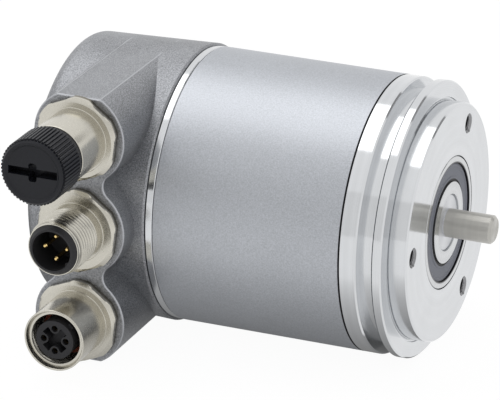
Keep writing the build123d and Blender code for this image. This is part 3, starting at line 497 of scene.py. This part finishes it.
def finish(name, dark, pale, rough, metal, pattern, values, bump=0.1, depth=2e-5, **sockets):
    """A finish whose pattern runs from a dark to a pale colour and from a low to a high roughness.

    The pattern is a node group's name, and values are its inputs.
    """
    made = bpy.data.materials.new(f"{name}_finish")
    tree = empty_tree(made)
    shader = add_node(tree, "ShaderNodeBsdfPrincipled")
    show(tree, shader)
    texture = add_node(tree, "ShaderNodeGroup", node_tree=bpy.data.node_groups[pattern], name="Pattern")
    for label, value in values.items():
        texture.inputs[label].default_value = value
    colour = add_node(tree, "ShaderNodeMix", data_type="RGBA")
    tree.links.new(texture.outputs["Tone"], colour.inputs["Factor"])
    colour.inputs[6].default_value = (*dark, 1)
    colour.inputs[7].default_value = (*pale, 1)
    tree.links.new(colour.outputs[2], shader.inputs["Base Color"])
    spread = add_node(tree, "ShaderNodeMapRange")
    tree.links.new(texture.outputs["Tone"], spread.inputs["Value"])
    spread.inputs["To Min"].default_value, spread.inputs["To Max"].default_value = rough
    tree.links.new(spread.outputs[0], shader.inputs["Roughness"])
    relief = add_node(tree, "ShaderNodeBump")
    relief.inputs["Strength"].default_value = bump
    relief.inputs["Distance"].default_value = depth
    tree.links.new(texture.outputs["Height"], relief.inputs["Height"])
    tree.links.new(relief.outputs[0], shader.inputs["Normal"])
    shader.inputs["Metallic"].default_value = metal
    for label, value in sockets.items():
        shader.inputs[label.replace("_", " ")].default_value = value
    return made


def shade(colour, factor):
    """A colour made darker or paler."""
    return tuple(min(1.0, part * factor) for part in colour)


def shader_of(material):
    """The Principled shader of a finish."""
    return next(node for node in material.node_tree.nodes if node.type == "BSDF_PRINCIPLED")


def spread_reflections(material, spread):
    """Stretch the reflections of a turned or ground surface across its rings."""
    tree, shader = material.node_tree, shader_of(material)
    tangent = add_node(tree, "ShaderNodeTangent", direction_type="RADIAL", axis="X")
    tree.links.new(tangent.outputs[0], shader.inputs["Tangent"])
    shader.inputs["Anisotropic"].default_value = spread
    shader.inputs["Anisotropic Rotation"].default_value = 0.25


def colour_over(material, share, colour, blend_type="MIX"):
    """Lay a colour, or the value of a socket, over a finish by a share or a mask."""
    tree = material.node_tree
    base = shader_of(material).inputs["Base Color"]
    over = add_node(tree, "ShaderNodeMix", data_type="RGBA", blend_type=blend_type)
    feed(tree, over.inputs["Factor"], share)
    tree.links.new(base.links[0].from_socket, over.inputs[6])
    feed(tree, over.inputs[7], colour if isinstance(colour, bpy.types.NodeSocket) else (*colour, 1))
    tree.links.new(over.outputs[2], base)


def line_mask(tree, coordinate, middle, half_width):
    """Mask of a narrow band of one coordinate of a finish."""
    band = add_node(tree, "ShaderNodeGroup", node_tree=bpy.data.node_groups["Edge line"])
    tree.links.new(coordinate, band.inputs["Coordinate"])
    band.inputs["Middle"].default_value = middle
    band.inputs["Half width"].default_value = half_width
    return band.outputs["Mask"]


def mark_band(material, axis, middle, half_width, colour):
    """Colour a narrow band across one axis, or across the radius where the axis is None."""
    place = object_place(material.node_tree)
    coordinate = radius_of(material.node_tree, place) if axis is None else place[axis]
    colour_over(material, line_mask(material.node_tree, coordinate, middle, half_width), colour)


def mark_ridges(material, ridges, half_width, colour):
    """Colour thin lines along Y, each at its X and Z."""
    tree = material.node_tree
    place = object_place(tree)
    for x, z in ridges:
        across = line_mask(tree, place[0], x, half_width)
        upward = line_mask(tree, place[2], z, half_width)
        colour_over(material, calc(tree, "MULTIPLY", across, upward), colour)


def lobe_ridges():
    """X and Z of the edges where the flats of the outer lobes meet their round sides."""
    low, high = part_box("bus_out_shell")
    middle = (low + high) / 2
    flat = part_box("rear_cap")[1].z - LOBE_INSET
    half_flat = sqrt(LOBE_RADIUS ** 2 - (flat - abs(middle.z)) ** 2)
    return [(middle.x + side * half_flat, end * flat) for side in (-1, 1) for end in (-1, 1)]


def shade_roots(material):
    """Paint shade into a piece's colour where its Shade attribute falls below 1, as down in a thread."""
    depth = add_node(material.node_tree, "ShaderNodeAttribute", attribute_name="Shade")
    colour_over(material, 1.0, depth.outputs["Fac"], "MULTIPLY")


def turned_aluminium(look):
    """Bright turned aluminium of the flange and the rear ring."""
    made = finish("turned_aluminium", shade(look.aluminium, 0.9), shade(look.aluminium, 1.08),
                  (0.1, 0.16), 1.0, "Turning marks", {"Feed": look.marks}, 0.12, 6e-6)
    spread_reflections(made, look.turned_spread)


def satin_tube(look):
    """Satin coating of the tube, with a dark joint at the flange."""
    made = finish("satin_tube", shade(look.tube, 0.84), shade(look.tube, 1.16), (0.4, 0.5), 0.9,
                  "Fine grain", {"Grain": look.grain, "Cloud": 0.1}, 0.4, 2.5e-5)
    mark_band(made, 0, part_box("housing_tube")[1].x, TUBE_JOINT, (0.015, 0.015, 0.017))


def cast_housing(look):
    """Shot-blasted casting with painted glints on small facets and painted highlights along its edges."""
    made = finish("cast_housing", shade(look.casting, 0.54), shade(look.casting, 1.38), (0.42, 0.54),
                  1.0, "Cast skin", {"Grain": look.grain * 0.85}, 0.6, 5e-5)
    # Painted glints: small bright spots laid into the colour where facets would catch the light
    colour_over(made, made.node_tree.nodes["Pattern"].outputs["Painted glints"], shade(look.casting, 1.7))
    # Painted highlights: light lines along the block's face edge and the lobes' edges, where rounded edges
    # would catch the light
    edge = shade(look.casting, 1.5)
    mark_band(made, 1, -BLOCK_FACE + BLOCK_OFFSET, BLOCK_EDGE_HIGHLIGHT, edge)
    mark_ridges(made, lobe_ridges(), LOBE_EDGE_HIGHLIGHT, edge)


def nickel_shell(look):
    """Warm nickel plating, with painted shade in the threads, and painted shade and dark reflection on the
    hexagon's sides at its foot.
    """
    made = finish("nickel_shell", shade(look.nickel, 0.93), shade(look.nickel, 1.06), (0.2, 0.3),
                  1.0, "Fine grain", {"Grain": look.grain * 2, "Cloud": 0.5}, 0.12, 1.5e-5)
    shade_roots(made)
    # Painted shade and dark reflection on the hexagon's sides, just off the block's face
    mark_band(made, 1, -BLOCK_FACE - BLOCK_OFFSET, SHELL_FOOT_SHADE, (0.2, 0.185, 0.15))


def polished_steel(look):
    """Ground steel of the shaft, with a painted highlight as a light band on the face at the bearing."""
    made = finish("polished_steel", shade(look.steel, 0.88), shade(look.steel, 1.12), (0.3, 0.36),
                  1.0, "Turning marks", {"Feed": look.marks * 0.7}, 0.1, 4e-6)
    spread_reflections(made, look.ground_spread)
    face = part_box("front_bearing_inner_ring")[1].x
    # Painted highlight: a light band on the shaft where it meets the bearing
    mark_band(made, 0, face - JOURNAL_HIGHLIGHT + SEAT, JOURNAL_HIGHLIGHT, look.journal_highlight)


def bearing_steel(look):
    """Steel of the bearing rings, with painted shade at the outer ring's rim and where the shield sits."""
    made = finish("bearing_steel", (0.5, 0.51, 0.52), (0.66, 0.67, 0.68), (0.12, 0.2), 1.0,
                  "Turning marks", {"Feed": look.marks * 0.6}, 0.06, 3e-6)
    # Painted shade in the gaps at the outer ring's rim and round the shield's seat
    mark_band(made, None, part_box("front_bearing_outer_ring")[1].z, OUTER_RIM_SHADE, (0.05, 0.05, 0.055))
    mark_band(made, None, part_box("front_bearing_shields")[1].z, SHIELD_SEAT_SHADE, (0.06, 0.06, 0.065))


def metal_finishes(look):
    """Make the metals, each named for its material slot."""
    for make in (turned_aluminium, satin_tube, cast_housing, nickel_shell, polished_steel, bearing_steel):
        make(look)
    fine = {"Grain": look.grain, "Cloud": 0.4}
    finish("plated_steel", (0.42, 0.43, 0.45), (0.6, 0.61, 0.63), (0.22, 0.34), 1.0,
           "Fine grain", {"Grain": look.grain, "Cloud": 0.3}, 0.12)
    finish("gold_contacts", (0.72, 0.5, 0.18), (0.86, 0.65, 0.3), (0.16, 0.24), 1.0,
           "Fine grain", fine, 0.05)
    # Painted shade: a dark copy of the gold for the contacts, which lie in the sockets' shade
    finish("socket_contacts", (0.05, 0.035, 0.012), (0.1, 0.07, 0.03), (0.3, 0.4), 1.0,
           "Fine grain", fine, 0.05)
    finish("brass_gear", (0.6, 0.42, 0.15), (0.76, 0.56, 0.25), (0.2, 0.32), 1.0,
           "Turning marks", {"Feed": look.marks})
    finish("magnet", (0.13, 0.13, 0.135), (0.24, 0.24, 0.25), (0.3, 0.45), 0.8,
           "Fine grain", {"Grain": look.grain * 0.6, "Cloud": 0.3}, 0.2)


def plastic_finishes(look, grain_size):
    """Make the plastics, rubbers, glass and boards, each named for its material slot."""
    small = {"Grain": grain_size * 0.7, "Cloud": 0.35}

    def moulded(name, colour, rough, bump=0.2, **sockets):
        """A moulded surface with a fine grain."""
        dark, pale = shade(colour, 0.85), shade(colour, 1.2)
        return finish(name, dark, pale, rough, 0.0, "Fine grain", small, bump, **sockets)

    shield = moulded("shield_rubber", look.shield, (0.5, 0.62), 0.3)
    inner, outer = (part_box(f"front_bearing_{part}")[1].z for part in ("inner_ring", "shields"))
    # Painted shade: near-black rings in the gap at the lip and at the shield's rim
    mark_band(shield, None, inner + LIP_OFFSET, LIP_GAP_SHADE, (0.008, 0.008, 0.01))
    mark_band(shield, None, outer, SHIELD_RIM_SHADE, (0.01, 0.01, 0.012))
    moulded("insert_plastic", look.insert, (0.42, 0.55), Specular_IOR_Level=0.3)
    moulded("cap_plastic", look.cap, (0.28, 0.4), 0.15, Specular_IOR_Level=0.28)
    moulded("seal_rubber", (0.02, 0.02, 0.022), (0.55, 0.7))
    moulded("red_seal_rubber", look.seal, (0.4, 0.55))
    moulded("technical_plastic", (0.62, 0.6, 0.55), (0.42, 0.55))
    moulded("chip_plastic", (0.03, 0.03, 0.033), (0.45, 0.6))
    moulded("clear_plastic", (0.8, 0.84, 0.86), (0.08, 0.14), 0.03, Transmission_Weight=0.85, IOR=1.49)
    finish("circuit_board", look.board, shade(look.board, 1.9), (0.3, 0.42), 0.0,
           "Board traces", {"Grain": 0.0022}, 0.15, 3e-5)
    finish("disc_glass", (0.03, 0.03, 0.035), (0.75, 0.8, 0.8), (0.05, 0.12), 0.0,
           "Code tracks", {}, 0.0, Transmission_Weight=0.6, IOR=1.5)


# Surfaces of two parameters
def skin(distances, radii, shades, angles, origin, axes):
    """Points, faces and shades of a skin that closes both ways round.

    A point lies at its row's distance along the axis, plus its radius times the cosine of its
    angle across, plus its radius times the sine of it upwards. The last row joins the first.
    """
    along, across, up = axes
    sideways = np.cos(angles)[..., None] * across + np.sin(angles)[..., None] * up
    points = origin + distances[..., None] * along + radii[..., None] * sideways
    number = np.arange(radii.size).reshape(radii.shape)
    below = np.roll(number, -1, 0)
    quads = np.stack((number, below, np.roll(below, -1, 1), np.roll(number, -1, 1)), -1).reshape(-1, 4)
    points = points.reshape(-1, 3)
    first, second, third, fourth = (points[quads[:, k]] - origin for k in range(4))
    volume = np.sum(first * np.cross(second, third)) + np.sum(first * np.cross(third, fourth))
    return points, quads if volume > 0 else quads[:, ::-1], shades.ravel()


def full_turn(columns):
    """Angles of a whole turn, as one row."""
    return np.linspace(0, 2 * pi, columns, endpoint=False)[None, :]


def rows_skin(rows, angles, origin, axes):
    """The skin over stretches of rows that share their angles."""
    distances, radii, shades = (np.concatenate([part[k] for part in rows]) for k in range(3))
    return skin(distances, radii, shades, np.repeat(angles, len(radii), 0), origin, axes)


def make_piece(name, skins, body, slot):
    """One object of one or more skins, riding on a body, in the finish of a slot."""
    starts = np.cumsum([0] + [len(made[0]) for made in skins[:-1]])
    points = np.concatenate([made[0] for made in skins])
    quads = np.concatenate([made[1] + start for made, start in zip(skins, starts)])
    mesh = bpy.data.meshes.new(name)
    mesh.from_pydata(points.tolist(), [], quads.tolist())
    mesh.polygons.foreach_set("use_smooth", np.ones(len(mesh.polygons), bool))
    shades = mesh.attributes.new("Shade", "FLOAT", "POINT")
    shades.data.foreach_set("value", np.concatenate([made[2] for made in skins]).astype(np.float32))
    mesh.set_sharp_from_angle(angle=SMOOTH_ANGLE)
    mesh.materials.append(bpy.data.materials[f"{slot}_finish"])
    piece = bpy.data.objects.new(name, mesh)
    bpy.context.scene.collection.objects.link(piece)
    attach(piece, body)
    return piece


def ridge(turns):
    """Height of a thread over its turns, with sloping flanks between a flat crest and a flat root.

    It is 2.6 times the distance from the middle of a turn, less 0.15, kept between 0 and 1.
    """
    return np.clip(2.6 * np.abs((turns % 1.0) - 0.5) - 0.15, 0.0, 1.0)


def thread_rows(start, end, pitch, angles, root, depth):
    """Rows of a thread between two ends, eight to a turn: a root radius plus the depth times the ridge.

    The ridge fades out at both ends. A negative depth gives an inner thread.
    """
    count = max(2, int(round(abs(end - start) / pitch * 8)))
    distances = np.linspace(start, end, count)[:, None] + 0 * angles
    fade = np.clip(np.minimum(abs(distances - start), abs(end - distances)) / pitch, 0, 1)
    height = ridge(distances / pitch - angles / (2 * pi))
    # The third result is painted shade, darkest at the thread's roots
    return distances, root + fade * depth * height, 1 - ROOT_SHADE * fade * (1 - height) ** 2


def plain_rows(corners, angles):
    """Rows of one radius each, from (distance, radius) corners."""
    corners = np.array(corners)
    return corners[:, :1] + 0 * angles, corners[:, 1:] + 0 * angles, 1 + 0 * corners[:, :1] * angles


def lip_corners(tip, outer, inner, rounding):
    """Corners of a rounded open end, a half circle in quarter steps on each side."""
    turns = np.linspace(0, pi / 2, 5)
    rise = tip - rounding + rounding * np.sin(turns)
    outside = np.stack((rise, outer - rounding + rounding * np.cos(turns)), 1)
    inside = np.stack((rise, inner + rounding - rounding * np.cos(turns)), 1)[::-1]
    return np.concatenate((outside, inside)).tolist()


def hexagon_rows(sizes, corners, angles):
    """Rows of a hexagon: half its flats over the cosine of the angle from the flat, at most its corner."""
    flat = (angles - sizes.hex_turn) % (pi / 3) - pi / 6
    hexagon = np.minimum(sizes.flats / 2 / np.cos(flat), sizes.turned_radius)
    corners = np.array(corners)
    limit = sizes.turned_radius - corners[:, 1:]
    radii = np.minimum(hexagon + 0 * limit, limit)
    return corners[:, :1] + 0 * angles, radii, np.ones(radii.shape)


def plug_place(node):
    """Centre line of a connector, and how far its shell starts and ends along it."""
    low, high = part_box(node)
    return np.array(((low.x + high.x) / 2, 0, (low.z + high.z) / 2)), -high.y, -low.y


def shell_skin(node, sizes, male):
    """A shell's skin: stem, hexagon, root ring, barrel and lip outside, then bore and shoulder inside."""
    origin, start, tip = plug_place(node)
    corner = np.arccos(sizes.flats / 2 / sizes.turned_radius)
    corners = [sizes.hex_turn + pi / 6 + k * pi / 3 + side * corner for k in range(6) for side in (-1, 1)]
    even = np.linspace(0, 2 * pi, sizes.columns, endpoint=False)
    angles = np.sort(np.concatenate((even, np.mod(corners, 2 * pi))))[None, :]
    face = BLOCK_FACE + sizes.hex_height
    shoulder = BLOCK_FACE + sizes.shoulder_rise
    bore = sizes.male_bore if male else sizes.female_bore
    barrel = sizes.male_barrel if male else sizes.female_barrel
    ring = barrel + sizes.root_ring
    step = sizes.root_ring * 0.6
    bevel = [(face - down * sizes.hex_bevel, inwards * sizes.hex_bevel) for down, inwards in BEVEL_SHAPE]
    rows = [plain_rows([(start, sizes.insert_bore), (start, sizes.stem_radius),
                        (BLOCK_FACE, sizes.stem_radius)], angles),
            hexagon_rows(sizes, [(BLOCK_FACE, 0.0)] + bevel, angles),
            plain_rows([(face, ring), (face + step * 0.7, ring), (face + step, ring - step * 0.4)], angles)]
    if male:
        root = barrel - sizes.thread_depth
        first, last = face + sizes.relief, tip - sizes.pitch * 0.5
        rows.append(plain_rows([(face + step, root), (first, root)], angles))
        rows.append(thread_rows(first, last, sizes.pitch, angles, root, sizes.thread_depth))
        rows.append(plain_rows([(last, root)] + lip_corners(tip, root, bore, sizes.male_lip), angles))
        rows.append(plain_rows([(shoulder, bore)], angles))
    else:
        root = bore + sizes.thread_depth
        mouth, first = tip - sizes.flare_depth, shoulder + sizes.pitch * 2
        lip = lip_corners(tip, barrel, barrel - 2 * sizes.lip, sizes.lip)
        rows.append(plain_rows([(face + step, barrel)] + lip, angles))
        rows.append(plain_rows([(mouth, root), (mouth, bore)], angles))
        rows.append(thread_rows(mouth - sizes.pitch * 0.1, first, sizes.pitch, angles, root,
                                -sizes.thread_depth))
        rows.append(plain_rows([(first, bore), (shoulder, bore)], angles))
    rows.append(plain_rows([(shoulder, sizes.insert_bore)], angles))
    return rows_skin(rows, angles, origin, PLUG_AXES)


def bead_skin(place, radius, half_width, rise, rows=14, columns=128):
    """A rounded ring on a face across the shaft: an ellipse carried round the axis."""
    turn = np.linspace(0, 2 * pi, rows, endpoint=False)[:, None]
    angles = full_turn(columns)
    distances = place + rise * np.sin(turn) + 0 * angles
    radii = radius + half_width * np.cos(turn) + 0 * angles
    shades = np.ones(radii.shape)
    return skin(distances, radii, shades, np.repeat(angles, rows, 0), np.zeros(3), SHAFT_AXES)


def seen_apart(tree, plain, seen, share=1.0):
    """A mix that takes a second shader where it is seen by the camera, in a mirror or through glass."""
    path = add_node(tree, "ShaderNodeLightPath")
    mirrored = calc(tree, "MAXIMUM", path.outputs["Is Glossy Ray"], path.outputs["Is Transmission Ray"])
    looked_at = calc(tree, "MAXIMUM", path.outputs["Is Camera Ray"], mirrored)
    mix = add_node(tree, "ShaderNodeMixShader")
    tree.links.new(calc(tree, "MULTIPLY", looked_at, share), mix.inputs[0])
    tree.links.new(plain.outputs[0], mix.inputs[1])
    tree.links.new(seen.outputs[0], mix.inputs[2])
    return mix


def flat_sheet(name, centre, right, up):
    """A flat sheet spanned by two half sides."""
    centre, right, up = Vector(centre), Vector(right), Vector(up)
    corners = [centre - right - up, centre + right - up, centre + right + up, centre - right + up]
    mesh = bpy.data.meshes.new(name)
    mesh.from_pydata([tuple(corner) for corner in corners], [], [(0, 1, 2, 3)])
    sheet = bpy.data.objects.new(name, mesh)
    bpy.context.scene.collection.objects.link(sheet)
    return sheet


def reflection_card(name, centre, sides, levels, ends=(0.0, 1.0)):
    """A glowing card that only shows in reflections, from one level to another between two ends along Y."""
    card = flat_sheet(name, centre, *sides)
    made = bpy.data.materials.new(name)
    tree = empty_tree(made)
    glow, grade = add_node(tree, "ShaderNodeEmission"), add_node(tree, "ShaderNodeMapRange")
    tree.links.new(object_place(tree)[1], grade.inputs["Value"])
    grade.inputs["From Min"].default_value, grade.inputs["From Max"].default_value = ends
    grade.inputs["To Min"].default_value, grade.inputs["To Max"].default_value = levels
    tree.links.new(grade.outputs[0], glow.inputs["Strength"])
    show(tree, glow)
    card.data.materials.append(made)
    card.visible_camera = card.visible_diffuse = card.visible_shadow = card.visible_transmission = False


class ENCODER_OT_finishes(bpy.types.Operator):
    """Give every part of the frame the finish of its material slot, and the contacts a dark copy of the
    gold as painted shade
    """

    bl_idname = "encoder.finishes"
    bl_label = "Finishes"

    def execute(self, context):
        scene = context.scene
        for make in (turning_marks, fine_grain, cast_skin, edge_line, code_tracks, board_traces):
            make()
        metal_finishes(scene.encoder_metal)
        plastic_finishes(scene.encoder_plastic, scene.encoder_metal.grain)
        for part in frame["record"]["subparts"]:
            slots = frame["nodes"][part["node"]].data.materials
            slots.clear()
            # Contacts take the dark copy of the gold, as painted shade
            slot = "socket_contacts" if part["node"].endswith("_contacts") else part["material_slot"]
            slots.append(bpy.data.materials[f"{slot}_finish"])
        return {"FINISHED"}


class ENCODER_OT_connector_shells(bpy.types.Operator):
    """Make the three nickel-plated shells with their hexagons, threads and rounded lips"""

    bl_idname = "encoder.connector_shells"
    bl_label = "Connector shells"

    def execute(self, context):
        sizes = context.scene.encoder_connectors
        for node in ("supply_shell", "bus_in_shell", "bus_out_shell"):
            shell = make_piece(f"{node}_threaded", [shell_skin(node, sizes, node == "supply_shell")],
                               "housing", "nickel_shell")
            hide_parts(node)
        return {"FINISHED"}


class ENCODER_OT_fixing_threads(bpy.types.Operator):
    """Line the three fixing holes in the flange with their threads and countersinks, in a darker copy of
    the aluminium as painted shade
    """

    bl_idname = "encoder.fixing_threads"
    bl_label = "Fixing threads"

    def execute(self, context):
        sizes = context.scene.encoder_flange
        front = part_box("front_bearing_outer_ring")[1].x
        wall = sizes.hole_radius + SEAT
        angles = full_turn(48)
        rows = [thread_rows(-sizes.hole_depth, -sizes.countersink, sizes.hole_pitch, angles,
                            sizes.hole_radius, -sizes.thread_height),
                plain_rows([(-MOUTH_START, sizes.mouth), (-MOUTH_END, sizes.mouth),
                            (-sizes.countersink - MOUTH_END / 2, wall), (-sizes.hole_depth, wall)], angles)]
        skins = []
        for turn in (pi, pi / 3, -pi / 3):
            place = np.array((front, sizes.hole_circle * np.cos(turn), sizes.hole_circle * np.sin(turn)))
            skins.append(rows_skin(rows, angles, place, SHAFT_AXES))
        threads = make_piece("fixing_threads", skins, "housing", "turned_aluminium")
        # Painted shade: the lining takes a darker copy of the aluminium, darker again at the thread's roots
        shaded_bore = finish("thread_in_shade", (0.2, 0.2, 0.205), (0.36, 0.36, 0.37), (0.25, 0.35), 1.0,
                        "Turning marks", {"Feed": sizes.hole_pitch / 4})
        shade_roots(shaded_bore)
        threads.data.materials[0] = shaded_bore
        return {"FINISHED"}


class ENCODER_OT_shield_lips(bpy.types.Operator):
    """Add the sealing lip and the outer bead of the front bearing's shield"""

    bl_idname = "encoder.shield_lips"
    bl_label = "Shield lips"

    def execute(self, context):
        sizes = context.scene.encoder_flange
        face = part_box("front_bearing_shields")[1].x
        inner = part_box("front_bearing_inner_ring")[1].z
        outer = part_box("front_bearing_shields")[1].z
        lip = bead_skin(face, inner + 2.2 * sizes.lip_width, sizes.lip_width, sizes.lip_rise)
        bead = bead_skin(face, outer - 1.6 * sizes.lip_width, sizes.lip_width, sizes.lip_rise * 0.7)
        make_piece("bearing_shield_lips", [lip, bead], "housing", "shield_rubber")
        return {"FINISHED"}


class ENCODER_OT_relief_bead(bpy.types.Operator):
    """Round out the floor of the relief between the shoulder and the collar"""

    bl_idname = "encoder.relief_bead"
    bl_label = "Relief bead"

    def execute(self, context):
        sizes = context.scene.encoder_flange
        angles = full_turn(256)
        inside, outside = sizes.relief_inside, sizes.relief_outside
        bottom, edge, floor = -sizes.relief_bottom, -sizes.relief_floor * 1.6, -sizes.relief_floor
        rows = plain_rows([(bottom, inside), (edge, inside), (floor, (inside + outside) / 2),
                           (edge, outside), (bottom, outside)], angles)
        bead = rows_skin([rows], angles, np.zeros(3), SHAFT_AXES)
        make_piece("collar_relief_bead", [bead], "housing", "turned_aluminium")
        return {"FINISHED"}


class ENCODER_OT_studio(bpy.types.Operator):
    """Set up the floor, the surround, the softbox, the cards and the camera"""

    bl_idname = "encoder.studio"
    bl_label = "Studio"

    def execute(self, context):
        studio = context.scene.encoder_studio
        self.lay_floor(studio)
        self.light(context.scene, studio)
        self.place_camera(context.scene, studio)
        context.scene.view_settings.view_transform = "Standard"
        return {"FINISHED"}

    def lay_floor(self, studio):
        """A white floor: seen directly it glows, and it keeps the object's shadow."""
        half = studio.floor_size / 2
        floor = flat_sheet("floor", (0, 0, studio.floor_height), (half, 0, 0), (0, half, 0))
        made = bpy.data.materials.new("floor_paper")
        tree = empty_tree(made)
        paper = add_node(tree, "ShaderNodeBsdfDiffuse")
        paper.inputs["Color"].default_value = (*studio.floor_colour, 1)
        glow = add_node(tree, "ShaderNodeEmission")
        glow.inputs["Strength"].default_value = studio.glow * studio.floor_gain
        show(tree, seen_apart(tree, paper, glow, studio.floor_share))
        floor.data.materials.append(made)

    def light(self, scene, studio):
        """A white surround, an overhead softbox and three cards: in front, at the side, and on the floor a
        painted shadow.
        """
        world = bpy.data.worlds.new("studio_surround")
        tree = empty_tree(world)
        ambient, white = (add_node(tree, "ShaderNodeBackground") for _ in range(2))
        ambient.inputs["Color"].default_value = white.inputs["Color"].default_value = (1, 1, 1, 1)
        ambient.inputs["Strength"].default_value = studio.ambient
        white.inputs["Strength"].default_value = studio.glow
        show(tree, seen_apart(tree, ambient, white), "World")
        scene.world = world
        softbox = bpy.data.lights.new("overhead_softbox", "AREA")
        softbox.shape = "RECTANGLE"
        softbox.size, softbox.size_y = studio.key_size
        softbox.energy = studio.key_level * pi * softbox.size * softbox.size_y
        lamp = bpy.data.objects.new("overhead_softbox", softbox)
        lamp.location = studio.key_place
        lamp.visible_camera = False
        scene.collection.objects.link(lamp)
        reflection_card("front_card", studio.front_place, FRONT_SIDES, (studio.front_level,) * 2)
        reflection_card("side_flag", studio.flag_place, FLAG_SIDES, (studio.flag_level,) * 2)
        # Painted shadow: a card under the tube that darkens the floor as reflections see it
        middle = (*studio.shade_place, studio.floor_height + SHADE_RISE)
        reflection_card("contact_shade", middle, SHADE_SIDES, (1.0, studio.shade_level), SHADE_ENDS)

    def place_camera(self, scene, studio):
        """The camera looks along the third side of its right and up directions."""
        right, up = Vector(studio.camera_right).normalized(), Vector(studio.camera_up).normalized()
        back = right.cross(up)
        lens = bpy.data.cameras.new("photo_camera")
        lens.lens = studio.camera_lens
        lens.clip_start, lens.clip_end = 0.01, 20.0
        camera = bpy.data.objects.new("photo_camera", lens)
        turn = Matrix((right, up, back)).transposed().to_4x4()
        camera.matrix_world = Matrix.Translation(studio.camera_place) @ turn
        scene.collection.objects.link(camera)
        scene.camera = camera


OPERATORS = (ENCODER_OT_finishes, ENCODER_OT_connector_shells, ENCODER_OT_fixing_threads,
             ENCODER_OT_shield_lips, ENCODER_OT_relief_bead, ENCODER_OT_studio)


class ENCODER_PT_panel(bpy.types.Panel):
    """Lists the encoder's pieces and settings"""

    bl_idname = "ENCODER_PT_panel"
    bl_label = "Encoder"
    bl_space_type = "VIEW_3D"
    bl_region_type = "UI"
    bl_category = "Encoder"

    def draw(self, context):
        for operator in OPERATORS:
            self.layout.operator(operator.bl_idname)
        for name in SETTINGS:
            group = getattr(context.scene, name)
            box = self.layout.box()
            for label in group.bl_rna.properties.keys():
                if label not in ("rna_type", "name"):
                    box.prop(group, label)


SETTINGS = {
    "encoder_metal": MetalFinish,
    "encoder_plastic": PlasticFinish,
    "encoder_connectors": ConnectorSizes,
    "encoder_flange": FlangeDetails,
    "encoder_studio": StudioSettings,
}


def register():
    """Register the settings, the operators and the panel."""
    for name, group in SETTINGS.items():
        bpy.utils.register_class(group)
        setattr(bpy.types.Scene, name, PointerProperty(type=group))
    for operator in OPERATORS:
        bpy.utils.register_class(operator)
    bpy.utils.register_class(ENCODER_PT_panel)


def unregister():
    """Take the panel, the operators and the settings out again."""
    bpy.utils.unregister_class(ENCODER_PT_panel)
    for operator in reversed(OPERATORS):
        bpy.utils.unregister_class(operator)
    for name, group in reversed(SETTINGS.items()):
        delattr(bpy.types.Scene, name)
        bpy.utils.unregister_class(group)


def main():
    """Build the looks."""
    register()
    bpy.ops.encoder.finishes()
    bpy.ops.encoder.connector_shells()
    bpy.ops.encoder.fixing_threads()
    bpy.ops.encoder.shield_lips()
    bpy.ops.encoder.relief_bead()
    bpy.ops.encoder.studio()


if __name__ == "__main__":
    main()
